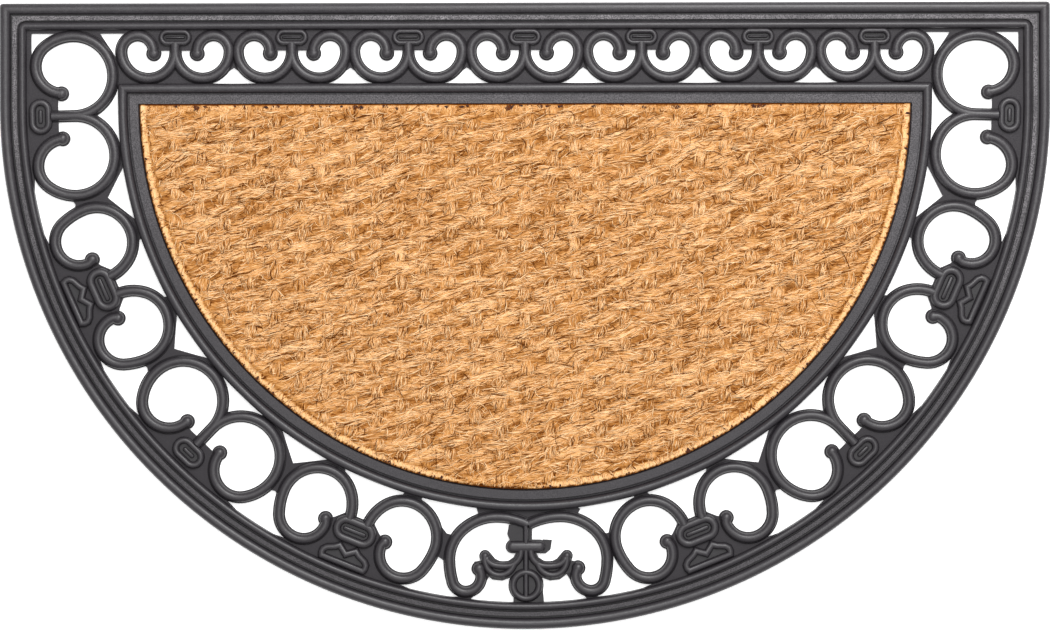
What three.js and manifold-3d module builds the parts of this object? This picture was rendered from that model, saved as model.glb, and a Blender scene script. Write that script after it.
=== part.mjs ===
// Half-round doormat: a one-piece rubber moulding with an openwork scroll border, and a coir insert.
// Millimetres, +Z up. The mat lies flat, its straight edge at +Y. The origin is on the floor,
// under the middle of the mat's box. The whole mat is drawn about one arc centre, and shapes are
// built there first: x runs to the right, y towards the straight edge.

import * as THREE from 'three';
import { mergeVertices } from 'three/addons/utils/BufferGeometryUtils.js';
import Module from 'manifold-3d';

const wasm = await Module();
wasm.setup();

// Outline: a half disc with a straight rise above its centre line
const WIDTH = 750;
const RISE = 72.5;
const RADIUS = WIDTH / 2;
const ARC_CENTRE_Y = (RADIUS - RISE) / 2;
const ARC_STEPS = 34;
const CORNER_STEPS = 3;

// Heights above the floor
const MEMBRANE_TOP = 3;
const GROOVE_TOP = 3.6;
const BEAD_TOP = 8;
const STRIP_TOP = 6;
const RIB_TOP = 7.6;
const TRAY_TOP = 2;

// Joining: how far pieces run into each other and cutters run past, the gap kept between the lower
// rounding of a bead and the floor it is sunk in, and the slope of a bead's rounding
const OVERLAP = 1;
const SUNK = 0.4;
const BEVEL_SLOPE = 0.75;
const WELD = 1e-4;
const FLATNESS = 0.02;

// Outer border, from the outline inwards
const BORDER_BANDS = [
  { from: 0, to: 7, top: BEAD_TOP, round: 2.4, corner: 2.4 },
  { from: 7.8, to: 11.6, top: STRIP_TOP, round: 0, corner: 0 },
  { from: 12.8, to: 19, top: BEAD_TOP, round: 2.3, corner: 5.5 },
];
const BORDER_WIDTH = 19;

// Frame around the insert, from its own outline inwards
const FRAME_RADIUS = 290.7;
const FRAME_RISE = 15.7;
const FRAME_WIDTH = 15.4;
const FRAME_BANDS = [
  { from: 0, to: 6, top: BEAD_TOP, round: 2.2, corner: 2 },
  { from: 7, to: FRAME_WIDTH, top: STRIP_TOP, round: 0, corner: 0 },
];

// Coir insert: a pressed rim round a thicker field, a small gap inside the tray
const FIT_GAP = 0.3;
const COIR_RADIUS = FRAME_RADIUS - FRAME_WIDTH - FIT_GAP;
const COIR_RIM_WIDTH = 4.2;
const COIR_RIM_TOP = 6.8;
const COIR_TOP = 9;
const COIR_ROUND = 0.9;

// Scroll ribs: half widths at the foot and at the crest
const RIB_FOOT = 4.4;
const RIB_CREST = 2;
const CHORD_SAG = 0.75; // how far a bend's straight steps may fall inside its true arc
const TIP_SIDES = 8;

// Scrolls. A path starts at x, y with a heading in degrees clockwise from +y. Each stretch is a
// straight run or a bend of a radius through degrees to the right. In a heart unit y is minus the
// distance from the arc centre. "closing" leads from the curl's tip back to the start, along the
// edge of the membrane, and shuts the opening inside the scroll.
const SCROLLS = {
  plain: {
    start: { x: 0, y: -338, heading: 0 },
    stretches: [
      { run: 16 },
      { radius: 28.5, turn: 180 },
      { radius: 32, turn: 38 },
      { radius: 18.5, turn: 52 },
      { radius: 19.5, turn: 80 },
      { run: 2 },
    ],
    closing: [{ x: 15, y: -333.5 }, { x: 0, y: -333.5 }],
  },
  crown: {
    start: { x: 6.8, y: -321.3, heading: 0 },
    stretches: [
      { radius: 29, turn: 40 },
      { radius: 24, turn: 50 },
      { radius: 26, turn: 90 },
      { radius: 48, turn: 20 },
      { radius: 18, turn: 70 },
      { radius: 17, turn: 85 },
      { run: 4 },
      { radius: 8, turn: -20 },
    ],
    closing: [{ x: 17, y: -324 }, { x: 8.5, y: -316 }],
  },
  centre: {
    start: { x: 0, y: -300, heading: 63.6 },
    stretches: [
      { radius: 51.7, turn: 26.4 },
      { radius: 36, turn: 40 },
      { radius: 29, turn: 50 },
      { radius: 60, turn: 15 },
      { radius: 9.9, turn: 75 },
      { radius: 11.2, turn: 90 },
      { radius: 14, turn: -25 },
      { run: 1 },
    ],
    closing: [{ x: 28, y: -328 }, { x: 14, y: -331 }, { x: 4, y: -322 }, { x: 0, y: -312 }],
  },
  small: {
    start: { x: 0, y: 40, heading: 180 },
    stretches: [
      { run: 2 },
      { radius: 19.35, turn: -180 },
      { radius: 11.6, turn: -180 },
      { run: 1.5 },
    ],
    closing: [{ x: 12, y: 38.6 }, { x: 0, y: 38.6 }],
  },
};

// Heart units round the arc, by their angle from the bottom of the mat
const HEART_PITCH = 22.25;
const HEART_FIRST = 21.85;
const HEARTS = [
  { kind: 'centre', angle: 0 },
  { kind: 'crown', angle: HEART_FIRST },
  { kind: 'plain', angle: HEART_FIRST + HEART_PITCH },
  { kind: 'crown', angle: HEART_FIRST + 2 * HEART_PITCH },
  { kind: 'plain', angle: HEART_FIRST + 3 * HEART_PITCH },
];

// Small units along the straight edge
const SMALL_PITCH = 83.2;
const SMALL_COUNT = 7;

// Openings left in the membrane beside the scrolls, as outlines of x and y. Their sides run under
// the ribs, whose feet make the edge that shows. "mirror" outlines give the right half only.
const OPENINGS = {
  plain: [
    { mirror: true, points: [[0, -308], [24, -286]] },
  ],
  crown: [
    { mirror: true, points: [[1.2, -314.5], [7, -310], [14, -297], [24, -286]] },
  ],
  centre: [
    { mirror: false, points: [[9, -334], [26, -334], [31, -342], [42, -354], [42, -358], [6, -358]] },
  ],
  gap: [
    { mirror: true, points: [[0, -305.5], [24, -286]] },
    { mirror: true, points: [[0, -329], [7, -332], [27, -353], [0, -359]] },
  ],
  smallGap: [
    { mirror: true, points: [[0, 26.3], [18, 13.5]] },
  ],
  corner: [
    { mirror: false, points: [[334, 54.5], [357, 54.5], [357, 35.5], [352, 35.5], [343.2, 45.7]] },
    { mirror: false, points: [[281, 54.5], [310, 54.5], [299, 44], [292, 37.5], [287.5, 44], [283, 50]] },
  ],
};

// Ovals: half sizes of the ring and of the pocket and core inside it
const OVALS = {
  plain: { y: -346, halfX: 12.9, halfY: 8.3, rim: 4.4, coreX: 4.6, coreY: 1.6 },
  crown: { y: -328.4, halfX: 15.6, halfY: 8.8, rim: 4.6, coreX: 9, coreY: 1.3 },
  small: { y: 47.9, halfX: 11.8, halfY: 6, rim: 3.4, coreX: 7, coreY: 0.7 },
};
const OVAL_TOP = 7.2;
const OVAL_ROUND = 1.4;
const CORE_TOP = 4.8;
const OVAL_END_STEPS = 4;

// Crown under the oval, right half only: its outer outline and its pocket
const CROWN_OUTER = [[0, -343], [5.2, -338.5], [7.2, -338.6], [10.3, -341.2], [15.8, -343.8], [18.9, -347],
  [19.3, -351], [17.6, -355.5], [0, -356.5]];
const CROWN_POCKET = [[0, -348.2], [5.6, -344.2], [9, -345.7], [14.6, -347.8], [14.6, -351.2], [0, -351.6]];
const CROWN_TOP = 7;
const CROWN_ROUND = 1.2;

// Fleur in the centre unit: stem, cross bar, two leaves, and a ring with a spine
const FLEUR_TOP = 7;
const FLEUR_ROUND = 1.4;
const STEM = { fromY: -298, toY: -314, halfX: 3.4 };
const BAR = { y: -316, halfX: 14.6, halfY: 4.9 };
const SPINE = { fromY: -314, toY: -352, halfX: 1.1, top: 6.2 };
const LEAF_OUTER = [[0.4, -316.5], [5.4, -318.4], [8.4, -323.8], [12.6, -326.6], [17.6, -327.2], [22, -324.8],
  [25, -320.6], [27.6, -321], [29.4, -326], [29.4, -332], [26.6, -337.4], [20, -339.8], [13.6, -339],
  [8.4, -335], [4.4, -328], [0.4, -323]];
const LEAF_POCKET = [[11.6, -330.2], [17, -331.6], [23, -329.6], [22, -332.6], [17, -334.2], [12.8, -333]];
const LEAF_LINK = [[24, -326], [37, -326.8], [37, -333], [27, -337]];
const RING = { y: -343.6, radius: 12.3, hole: 7.4, sides: 16 };

// Thin patches of membrane that the mould left in the centre unit and beside the crown ovals
const CENTRE_PATCHES = [
  [[-12.2, -300.5], [0, -300], [0, -312], [-11.4, -312], [-13.4, -307]],
  [[12, -311], [18.6, -311.4], [17.6, -318], [14, -321], [10, -321]],
];
const RING_FOOT = [[-9, -349], [0, -350], [12, -345], [12.9, -357], [-9, -357]];

const RUBBER_COLOUR = 0x47464a;
const COIR_COLOUR = 0xb98550;

// A closed solid of a three.js geometry, with its doubled corners joined
function solid(geometry) {
  const bare = geometry.clone();
  bare.deleteAttribute('normal');
  bare.deleteAttribute('uv');
  const merged = mergeVertices(bare, WELD);
  const corners = merged.index.array;
  const kept = [];
  for (let i = 0; i < corners.length; i += 3) {
    const [a, b, c] = corners.slice(i, i + 3);
    if (a !== b && b !== c && c !== a) {
      kept.push(a, b, c);
    }
  }
  return new wasm.Manifold(new wasm.Mesh({
    numProp: 3,
    vertProperties: new Float32Array(merged.attributes.position.array),
    triVerts: new Uint32Array(kept),
  }));
}

function union(solids) {
  return wasm.Manifold.union(solids);
}

function shapeOf(points) {
  const corners = points.map(([x, y]) => new THREE.Vector2(x, y));
  return new THREE.Shape(THREE.ShapeUtils.isClockWise(corners) ? corners.reverse() : corners);
}

function withHole(shape, points) {
  shape.holes.push(new THREE.Path(points.map(([x, y]) => new THREE.Vector2(x, y))));
  return shape;
}

// A right half and its mirror image, as one outline
function mirrored(half) {
  const left = half.filter(([x]) => x > 0).map(([x, y]) => [-x, y]).reverse();
  return [...half, ...left];
}

// A straight-sided slab between two heights
function slab(shape, bottom, top) {
  const geometry = new THREE.ExtrudeGeometry(shape, { depth: top - bottom, bevelEnabled: false });
  geometry.translate(0, 0, bottom);
  return solid(geometry);
}

// A band with rounded upper edges. Its lower edges are rounded too, and lie inside the floor under it.
function bead(shape, top, round) {
  const bottom = GROOVE_TOP - round - SUNK;
  const geometry = new THREE.ExtrudeGeometry(shape, {
    depth: top - bottom - 2 * round,
    bevelThickness: round,
    bevelSize: round * BEVEL_SLOPE,
    bevelOffset: -round * BEVEL_SLOPE,
    bevelSegments: 1,
  });
  geometry.translate(0, 0, bottom + round);
  return solid(geometry);
}

// Corners of a half-round outline of a radius and a rise, its two top corners rounded
function halfRound(radius, rise, corner) {
  const points = [];
  const bend = (x, y, r, from, to, steps) => {
    for (let i = 0; i <= steps; i += 1) {
      const angle = THREE.MathUtils.degToRad(from + (to - from) * i / Math.max(steps, 1));
      points.push([x + r * Math.cos(angle), y + r * Math.sin(angle)]);
    }
  };
  const steps = corner > 0 ? CORNER_STEPS : 0;
  if (rise > 0) {
    bend(radius - corner, rise - corner, corner, 0, 90, steps);
    bend(corner - radius, rise - corner, corner, 90, 180, steps);
  }
  bend(0, 0, radius, 180, 360, ARC_STEPS);
  return points;
}

// One band between two insets of a half-round outline
function bandSolid(radius, rise, band) {
  const outer = halfRound(radius - band.from, rise - band.from, band.corner);
  const inner = halfRound(radius - band.to, rise - band.to, 0);
  const shape = withHole(shapeOf(outer), inner);
  if (band.round > 0) {
    return bead(shape, band.top, band.round);
  }
  return slab(shape, MEMBRANE_TOP - OVERLAP, band.top);
}

// Groove floor of a border, with its beads and strips on top
function border(radius, rise, width, corner, bands) {
  const outer = halfRound(radius, rise, corner);
  const inner = halfRound(radius - width, rise - width, 0);
  const floor = slab(withHole(shapeOf(outer), inner), 0, GROOVE_TOP);
  return union([floor, ...bands.map((band) => bandSolid(radius, rise, band))]);
}

// A scroll's centre line: straight runs and bends, one after another, each in a few equal steps
class ScrollPath extends THREE.Curve {
  constructor({ start, stretches }) {
    super();
    this.stations = [start];
    stretches.forEach((stretch) => this.follow(stretch));
    this.steps = this.stations.length - 1;
  }

  follow({ run = 0, radius = 0, turn = 0 }) {
    const { x, y, heading } = this.stations[this.stations.length - 1];
    if (run > 0) {
      const angle = THREE.MathUtils.degToRad(heading);
      this.stations.push({ x: x + run * Math.sin(angle), y: y + run * Math.cos(angle), heading });
      return;
    }
    const side = Math.sign(turn);
    const turnFrom = THREE.MathUtils.degToRad(heading);
    const centreX = x + side * radius * Math.cos(turnFrom);
    const centreY = y - side * radius * Math.sin(turnFrom);
    const stepTurn = 2 * Math.acos(1 - CHORD_SAG / radius);
    const steps = Math.ceil(THREE.MathUtils.degToRad(Math.abs(turn)) / stepTurn);
    for (let i = 1; i <= steps; i += 1) {
      const degrees = heading + turn * i / steps;
      const angle = THREE.MathUtils.degToRad(degrees);
      this.stations.push({
        x: centreX - side * radius * Math.cos(angle),
        y: centreY + side * radius * Math.sin(angle),
        heading: degrees,
      });
    }
  }

  getUtoTmapping(u) {
    return u;
  }

  getPoint(t, target = new THREE.Vector3()) {
    const { x, y } = this.stations[Math.round(t * this.steps)];
    return target.set(x, y, 0);
  }

  getTangent(t, target = new THREE.Vector3()) {
    const { heading } = this.stations[Math.round(t * this.steps)];
    const angle = THREE.MathUtils.degToRad(heading);
    return target.set(Math.sin(angle), Math.cos(angle), 0);
  }
}

// A rib along a path, ending in a round tip. The section's x is minus the height.
function rib(path) {
  const section = shapeOf([[0, -RIB_FOOT], [0, RIB_FOOT], [-RIB_TOP, RIB_CREST], [-RIB_TOP, -RIB_CREST]]);
  const bar = solid(new THREE.ExtrudeGeometry(section, { steps: path.steps, extrudePath: path }));
  const profile = [[0, 0], [RIB_FOOT, 0], [RIB_CREST, RIB_TOP], [0, RIB_TOP]];
  const tip = new THREE.LatheGeometry(profile.map(([r, z]) => new THREE.Vector2(r, z)), TIP_SIDES);
  const end = path.stations[path.steps];
  tip.rotateX(Math.PI / 2);
  tip.rotateZ(THREE.MathUtils.degToRad(-end.heading));
  tip.translate(end.x, end.y, 0);
  return bar.add(solid(tip));
}

// The opening inside a scroll, cut through the membrane
function scrollOpening(path, closing) {
  const line = path.stations.slice(1).map(({ x, y }) => [x, y]);
  return cutter([...line, ...closing.map(({ x, y }) => [x, y])]);
}

function cutter(points) {
  return slab(shapeOf(points), -OVERLAP, MEMBRANE_TOP + OVERLAP);
}

function openings(rows) {
  return rows.flatMap(({ mirror, points }) => {
    if (mirror) {
      return [cutter(mirrored(points))];
    }
    const flipped = points.map(([x, y]) => [-x, y]);
    return [cutter(points), cutter(flipped)];
  });
}

// An outline with round ends, longer in x than in y
function roundEnded(y, halfX, halfY) {
  const points = [];
  [1, -1].forEach((side) => {
    for (let i = 0; i <= OVAL_END_STEPS; i += 1) {
      const angle = Math.PI * (i / OVAL_END_STEPS - 0.5);
      points.push([side * (halfX - halfY + halfY * Math.cos(angle)), y + side * halfY * Math.sin(angle)]);
    }
  });
  return points;
}

// A raised piece with rounded upper edges, and a straight pocket down to the groove level
function pocketed(outline, pocket, top, round) {
  const block = slab(shapeOf(outline), 0, GROOVE_TOP).add(bead(shapeOf(outline), top, round));
  return block.subtract(slab(shapeOf(pocket), GROOVE_TOP, top + OVERLAP));
}

// A ring with a low core along the middle of its pocket
function oval({ y, halfX, halfY, rim, coreX, coreY }) {
  const pocket = roundEnded(y, halfX - rim, halfY - rim);
  const ring = pocketed(roundEnded(y, halfX, halfY), pocket, OVAL_TOP, OVAL_ROUND);
  return ring.add(slab(rectangle(coreX, y - coreY, y + coreY), OVERLAP, CORE_TOP));
}

function leaf(side) {
  const turned = (points) => points.map(([x, y]) => [side * x, y]);
  const link = slab(shapeOf(turned(LEAF_LINK)), 0, MEMBRANE_TOP);
  return pocketed(turned(LEAF_OUTER), turned(LEAF_POCKET), FLEUR_TOP, FLEUR_ROUND).add(link);
}

function rectangle(halfX, fromY, toY) {
  return shapeOf([[-halfX, toY], [halfX, toY], [halfX, fromY], [-halfX, fromY]]);
}

function circle(y, radius, sides) {
  return Array.from({ length: sides }, (_, i) => {
    const angle = 2 * Math.PI * i / sides;
    return [radius * Math.cos(angle), y + radius * Math.sin(angle)];
  });
}

function fleur() {
  const bar = shapeOf(roundEnded(BAR.y, BAR.halfX, BAR.halfY));
  const ring = circle(RING.y, RING.radius, RING.sides);
  return union([
    slab(rectangle(RIB_FOOT, STEM.fromY, STEM.toY), 0, MEMBRANE_TOP),
    bead(rectangle(STEM.halfX, STEM.fromY, STEM.toY), RIB_TOP, FLEUR_ROUND),
    slab(bar, 0, GROOVE_TOP),
    bead(bar, FLEUR_TOP, FLEUR_ROUND),
    leaf(1),
    leaf(-1),
    pocketed(ring, circle(RING.y, RING.hole, RING.sides), FLEUR_TOP, FLEUR_ROUND),
    slab(rectangle(SPINE.halfX, SPINE.fromY, SPINE.toY), OVERLAP, SPINE.top),
    ...[...CENTRE_PATCHES, RING_FOOT].map((points) => slab(shapeOf(points), 0, MEMBRANE_TOP)),
  ]);
}

// The raised parts of one unit, at its own place under the arc centre or on the straight edge
function unitRaised(kind) {
  const path = new ScrollPath(SCROLLS[kind]);
  const right = rib(path);
  const parts = [right, right.mirror([1, 0, 0])];
  if (OVALS[kind]) {
    parts.push(oval(OVALS[kind]));
  }
  if (kind === 'crown') {
    parts.push(pocketed(mirrored(CROWN_OUTER), mirrored(CROWN_POCKET), CROWN_TOP, CROWN_ROUND));
  }
  if (kind === 'centre') {
    parts.push(fleur());
  }
  return union(parts);
}

function unitOpenings(kind) {
  const opening = scrollOpening(new ScrollPath(SCROLLS[kind]), SCROLLS[kind].closing);
  return union([opening, opening.mirror([1, 0, 0]), ...openings(OPENINGS[kind] ?? [])]);
}

// Copies of a solid at an angle to both sides of the bottom of the mat
function bothSides(part, angle) {
  if (angle === 0) {
    return [part];
  }
  return [part.rotate([0, 0, angle]), part.rotate([0, 0, -angle])];
}

function alongEdge(part, count) {
  const first = -(count - 1) / 2;
  return Array.from({ length: count }, (_, i) => part.translate([(first + i) * SMALL_PITCH, 0, 0]));
}

function heartGaps() {
  const gap = union(openings(OPENINGS.gap));
  const angles = HEARTS.slice(1).map(({ angle }, i) => (angle + HEARTS[i].angle) / 2);
  return angles.flatMap((angle) => bothSides(gap, angle));
}

// The thin membrane between border and frame, with every opening cut through it
function membrane() {
  const outer = halfRound(RADIUS - BORDER_WIDTH / 2, RISE - BORDER_WIDTH / 2, 0);
  const inner = halfRound(FRAME_RADIUS - FRAME_WIDTH / 2, FRAME_RISE - FRAME_WIDTH / 2, 0);
  const sheet = slab(withHole(shapeOf(outer), inner), 0, MEMBRANE_TOP);
  const cuts = [
    ...HEARTS.flatMap(({ kind, angle }) => bothSides(unitOpenings(kind), angle)),
    ...heartGaps(),
    ...alongEdge(unitOpenings('small'), SMALL_COUNT),
    ...alongEdge(union(openings(OPENINGS.smallGap)), SMALL_COUNT - 1),
    ...openings(OPENINGS.corner),
  ];
  return sheet.subtract(union(cuts));
}

function frame() {
  const tray = slab(shapeOf(halfRound(FRAME_RADIUS - OVERLAP, FRAME_RISE - OVERLAP, 0)), 0, TRAY_TOP);
  return border(FRAME_RADIUS, FRAME_RISE, FRAME_WIDTH, FRAME_BANDS[0].corner, FRAME_BANDS).add(tray);
}

function rubberMoulding() {
  return union([
    membrane(),
    border(RADIUS, RISE, BORDER_WIDTH, BORDER_BANDS[0].corner, BORDER_BANDS),
    frame(),
    ...HEARTS.flatMap(({ kind, angle }) => bothSides(unitRaised(kind), angle)),
    ...alongEdge(unitRaised('small'), SMALL_COUNT),
  ]);
}

function coirInsert() {
  const rim = slab(shapeOf(halfRound(COIR_RADIUS, 0, 0)), TRAY_TOP + FIT_GAP, COIR_RIM_TOP);
  const fieldRadius = COIR_RADIUS - COIR_RIM_WIDTH;
  const field = new THREE.ExtrudeGeometry(shapeOf(halfRound(fieldRadius, 0, 0)), {
    depth: COIR_TOP - COIR_RIM_TOP - COIR_ROUND + OVERLAP,
    bevelThickness: COIR_ROUND,
    bevelSize: COIR_ROUND,
    bevelOffset: -COIR_ROUND,
    bevelSegments: 1,
  });
  field.translate(0, -COIR_RIM_WIDTH, COIR_RIM_TOP - OVERLAP);
  const within = slab(shapeOf(halfRound(fieldRadius, 0, 0)), 0, COIR_TOP + OVERLAP);
  return rim.add(solid(field).intersect(within));
}

// A named mesh of a solid, its flat faces joined, set at the arc's centre
function mesh(name, part, colour, roughness) {
  const { vertProperties, triVerts } = part.asOriginal().simplify(FLATNESS).getMesh();
  const geometry = new THREE.BufferGeometry();
  geometry.setAttribute('position', new THREE.BufferAttribute(vertProperties, 3));
  geometry.setIndex(new THREE.BufferAttribute(triVerts, 1));
  geometry.computeVertexNormals();
  const material = new THREE.MeshStandardMaterial({ color: colour, roughness, metalness: 0 });
  material.flatShading = true;
  const result = new THREE.Mesh(geometry, material);
  result.name = name;
  result.position.y = ARC_CENTRE_Y;
  return result;
}

const doormat = new THREE.Group();
doormat.add(mesh('rubber_frame', rubberMoulding(), RUBBER_COLOUR, 0.6));
doormat.add(mesh('coir_insert', coirInsert(), COIR_COLOUR, 1));

export default doormat;
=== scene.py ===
"""Half-round doormat: a rubber moulding with an openwork border of scrolls, round woven coir.

Lengths in the tables are millimetres about the arc's centre: x runs to the right, y towards the mat's
straight edge and z up from the floor. A finished piece is scaled to metres and set in its place.
"""

import math

import bmesh
import bpy
import numpy as np
from bpy.props import FloatProperty, FloatVectorProperty, IntProperty, PointerProperty
from mathutils import Matrix, Vector


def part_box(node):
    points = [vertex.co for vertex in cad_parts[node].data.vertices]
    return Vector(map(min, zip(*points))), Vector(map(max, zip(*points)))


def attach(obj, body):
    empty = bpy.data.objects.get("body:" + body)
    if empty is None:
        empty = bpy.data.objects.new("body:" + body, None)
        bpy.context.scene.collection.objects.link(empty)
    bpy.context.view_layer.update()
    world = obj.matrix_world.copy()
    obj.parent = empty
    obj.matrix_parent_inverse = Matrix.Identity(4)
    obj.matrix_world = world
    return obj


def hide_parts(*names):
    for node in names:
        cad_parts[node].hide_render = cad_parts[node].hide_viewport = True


bl_info = {
    "name": "Half-round coir doormat",
    "version": (1, 0, 0),
    "blender": (4, 5, 0),
    "location": "3D View > Sidebar > Doormat",
    "description": "Builds a rubber moulding with scroll openwork and a woven coir insert",
    "category": "Add Mesh",
}

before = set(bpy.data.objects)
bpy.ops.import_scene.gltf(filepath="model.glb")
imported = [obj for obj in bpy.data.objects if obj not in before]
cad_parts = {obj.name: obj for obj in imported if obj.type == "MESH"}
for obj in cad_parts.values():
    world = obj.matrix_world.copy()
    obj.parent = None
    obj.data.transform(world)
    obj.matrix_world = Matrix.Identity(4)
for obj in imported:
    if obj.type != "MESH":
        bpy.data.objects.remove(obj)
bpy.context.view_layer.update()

MM = 0.001
UP = (0, 0, 1)

# Outline, worked out from the moulding's box: a half disc with a straight rise above its centre line
RUBBER_LOW, RUBBER_HIGH = (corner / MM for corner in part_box("rubber_frame"))
COIR_LOW, COIR_HIGH = (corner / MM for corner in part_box("coir_insert"))
RADIUS = RUBBER_HIGH.x
ARC_CENTRE_Y = RUBBER_LOW.y + RADIUS
RISE = RUBBER_HIGH.y - ARC_CENTRE_Y
COIR_RADIUS = COIR_HIGH.x
COIR_BASE = COIR_LOW.z
COIR_CREST = COIR_HIGH.z

FRAME_WIDTH = 15.4
FIT_GAP = 0.3
FRAME_RADIUS = COIR_RADIUS + FIT_GAP + FRAME_WIDTH
FRAME_RISE = FRAME_WIDTH + FIT_GAP - 0.6

# Steps round the long arc, round a corner, and degrees of a scroll's bend to one step
ARC_STEPS = 132
CORNER_STEPS = 6
BEND_STEP = 5
SHARP = 0.02

# Heights above the floor of the moulding's lower parts
GROOVE_TOP = 3.4
LEDGE_TOP = 3.0
ROUNDING = 0.35

# Undersides of parts that stand on no bead, each at its own height, so that no two share a plane
GROOVE_UNDER = 0.3
STRIP_UNDER = 0.2
MEMBRANE_UNDER = 0.1

# Insets of hidden sides: of the border's groove, of the frame's groove, of the membrane and of the back
BORDER_GROOVE = (3, 16)
FRAME_GROOVE_START = 5
MEMBRANE_START = 15
BACK_INSET = 3

# Beads and strips of a border, from its outline inwards
BORDER_BEADS = [
    {"start": 0, "end": 7.9, "corner": 2.6},
    {"start": 13.3, "end": 19.2, "corner": 5.2},
]
BORDER_STRIP = {"start": 9.0, "end": 12.6, "corner": SHARP, "inner_corner": 6.7}
FRAME_BEAD = {"start": 0, "end": 7.0, "corner": 2}
FRAME_STRIP = {"start": 8.2, "end": FRAME_WIDTH - 0.45, "corner": SHARP}

# Right half of a rib's section: a ledge at the membrane, and a round bead on it. Widths and heights
# are shares of the half width and of the height.
RIB_SECTION = [
    (1.24, 0.0), (1.24, 0.38), (1.17, 0.43), (1.01, 0.46), (0.99, 0.57), (0.91, 0.71), (0.75, 0.835),
    (0.53, 0.93), (0.28, 0.985), (0.0, 1.0),
]
RIB_HALF_WIDTH = 3.5
TIP_SWELL = 1.25

# Scrolls. A path starts at x, y with a heading in degrees clockwise from +y. Each stretch is a
# straight run or a bend of a radius through degrees to the right.
SCROLLS = {
    "plain": {
        "start": (0, -322, 0),
        "stretches": [
            {"radius": 28.5, "turn": 180},
            {"radius": 32, "turn": 38},
            {"radius": 18.5, "turn": 52},
            {"radius": 19.5, "turn": 80},
            {"run": 2},
        ],
        "closing": [(15, -333.5), (0, -333.5)],
    },
    "crown": {
        "start": (6.8, -321.3, 0),
        "stretches": [
            {"radius": 29, "turn": 40},
            {"radius": 24, "turn": 50},
            {"radius": 26, "turn": 90},
            {"radius": 48, "turn": 20},
            {"radius": 18, "turn": 70},
            {"radius": 17, "turn": 85},
            {"radius": 7, "turn": 45},
        ],
        "closing": [(17, -324), (8.5, -316)],
    },
    "centre": {
        "start": (0, -300, 63.6),
        "stretches": [
            {"radius": 51.7, "turn": 26.4},
            {"radius": 36, "turn": 40},
            {"radius": 29, "turn": 50},
            {"radius": 60, "turn": 15},
            {"radius": 9.9, "turn": 75},
            {"radius": 11.2, "turn": 90},
            {"radius": 9, "turn": 30},
            {"run": 1},
        ],
        "closing": [(28, -328), (14, -331), (4, -322), (0, -312)],
    },
    "small": {
        "start": (0, 38, 180),
        "stretches": [
            {"radius": 19.35, "turn": -180},
            {"radius": 11.6, "turn": -180},
            {"run": 1.5},
        ],
        "closing": [(12, 38.6), (0, 38.6)],
    },
}

# The run that a pair of scrolls shares, from its lower end to where they part
STEMS = {
    "plain": {"start": (0, -338, 0), "run": 17},
    "small": {"start": (0, 44, 180), "run": 7},
}

# Heart units round the arc, by their angle from the bottom of the mat, and small units on the edge
HEART_PITCH = 22.25
HEART_FIRST = 21.85
HEARTS = [
    {"kind": "centre", "angle": 0.3},
    {"kind": "crown", "angle": HEART_FIRST},
    {"kind": "plain", "angle": HEART_FIRST + HEART_PITCH},
    {"kind": "crown", "angle": HEART_FIRST + 2 * HEART_PITCH},
    {"kind": "plain", "angle": HEART_FIRST + 3 * HEART_PITCH},
]
SMALL_PITCH = 83.2
SMALL_COUNT = 7

# Right halves of the openings beside the scrolls. Their sides run under the ribs.
CROWN_OPENING = [(6.9, -318.4), (8.5, -311.4), (13.6, -302.7), (20, -297.3), (24, -286)]
CENTRE_LOWER = [(9, -334), (26, -334), (31, -342), (42, -354), (42, -358), (6, -358)]
CENTRE_UPPER = [(35.5, -292.8), (35.3, -296.8), (41, -299.4), (46.1, -303), (51, -308), (58, -306.5),
                (63, -300), (66.5, -296.7), (69, -292.9), (75.7, -286.9), (75.7, -278)]
CORNER_OUTER = [(333.7, 47.1), (333.7, 50.9), (352.6, 50.9), (352.6, 33.5), (350, 33.5), (346.5, 38),
                (342.8, 41.9), (338.5, 44.9)]
CORNER_INNER = [(282.5, 50.9), (303.5, 50.9), (299.5, 45), (296.5, 40.5), (296.5, 35.5), (292.8, 34.5),
                (288.3, 38), (287.6, 42), (285.6, 45.5), (282.5, 48)]


def mirrored(points):
    """The mirror image in x of an outline"""
    return [(-x, y) for x, y in points]


# All openings but those inside the scrolls, by the unit they stand in or the gap between two units
OPENINGS = {
    "plain": [[(0, -308), (20.7, -289), (20.7, -286), (-20.7, -286), (-20.7, -289)]],
    "crown": [CROWN_OPENING + mirrored(CROWN_OPENING)[::-1]],
    "centre": [
        CENTRE_LOWER,
        mirrored(CENTRE_LOWER),
        [(38.4, -287.4), *CENTRE_UPPER],
        [(-37, -287.6), *mirrored(CENTRE_UPPER)],
    ],
    "gap": [
        [(0, -305.5), (24, -286), (-24, -286)],
        [(0, -329), (7, -332), (27, -353), (0, -359), (-27, -353), (-7, -332)],
    ],
    "small_gap": [[(0, 26.3), (18, 13.5), (-18, 13.5)]],
    "corner": [CORNER_OUTER, mirrored(CORNER_OUTER), CORNER_INNER, mirrored(CORNER_INNER)],
}

# Ovals: half sizes of the ring and of the core in its pocket
OVALS = {
    "plain": {"y": -346, "half_x": 12.9, "half_y": 8.3, "rim": 5.1, "core_x": 5.0, "core_y": 1.5},
    "crown": {"y": -328.8, "half_x": 16.2, "half_y": 9.6, "rim": 6.1, "core_x": 8.8, "core_y": 1.6},
    "small": {"y": 47.9, "half_x": 11.8, "half_y": 6, "rim": 3.9, "core_x": 7.0, "core_y": 0.9},
}

# Crown under the oval, right half: its outline from the notch in its top to the middle of its foot
CROWN_HALF = [(0, -343), (6.2, -338.2), (10.3, -341.4), (15.8, -343.8), (18.9, -347), (19.3, -351),
              (17.6, -355.5)]

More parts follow.
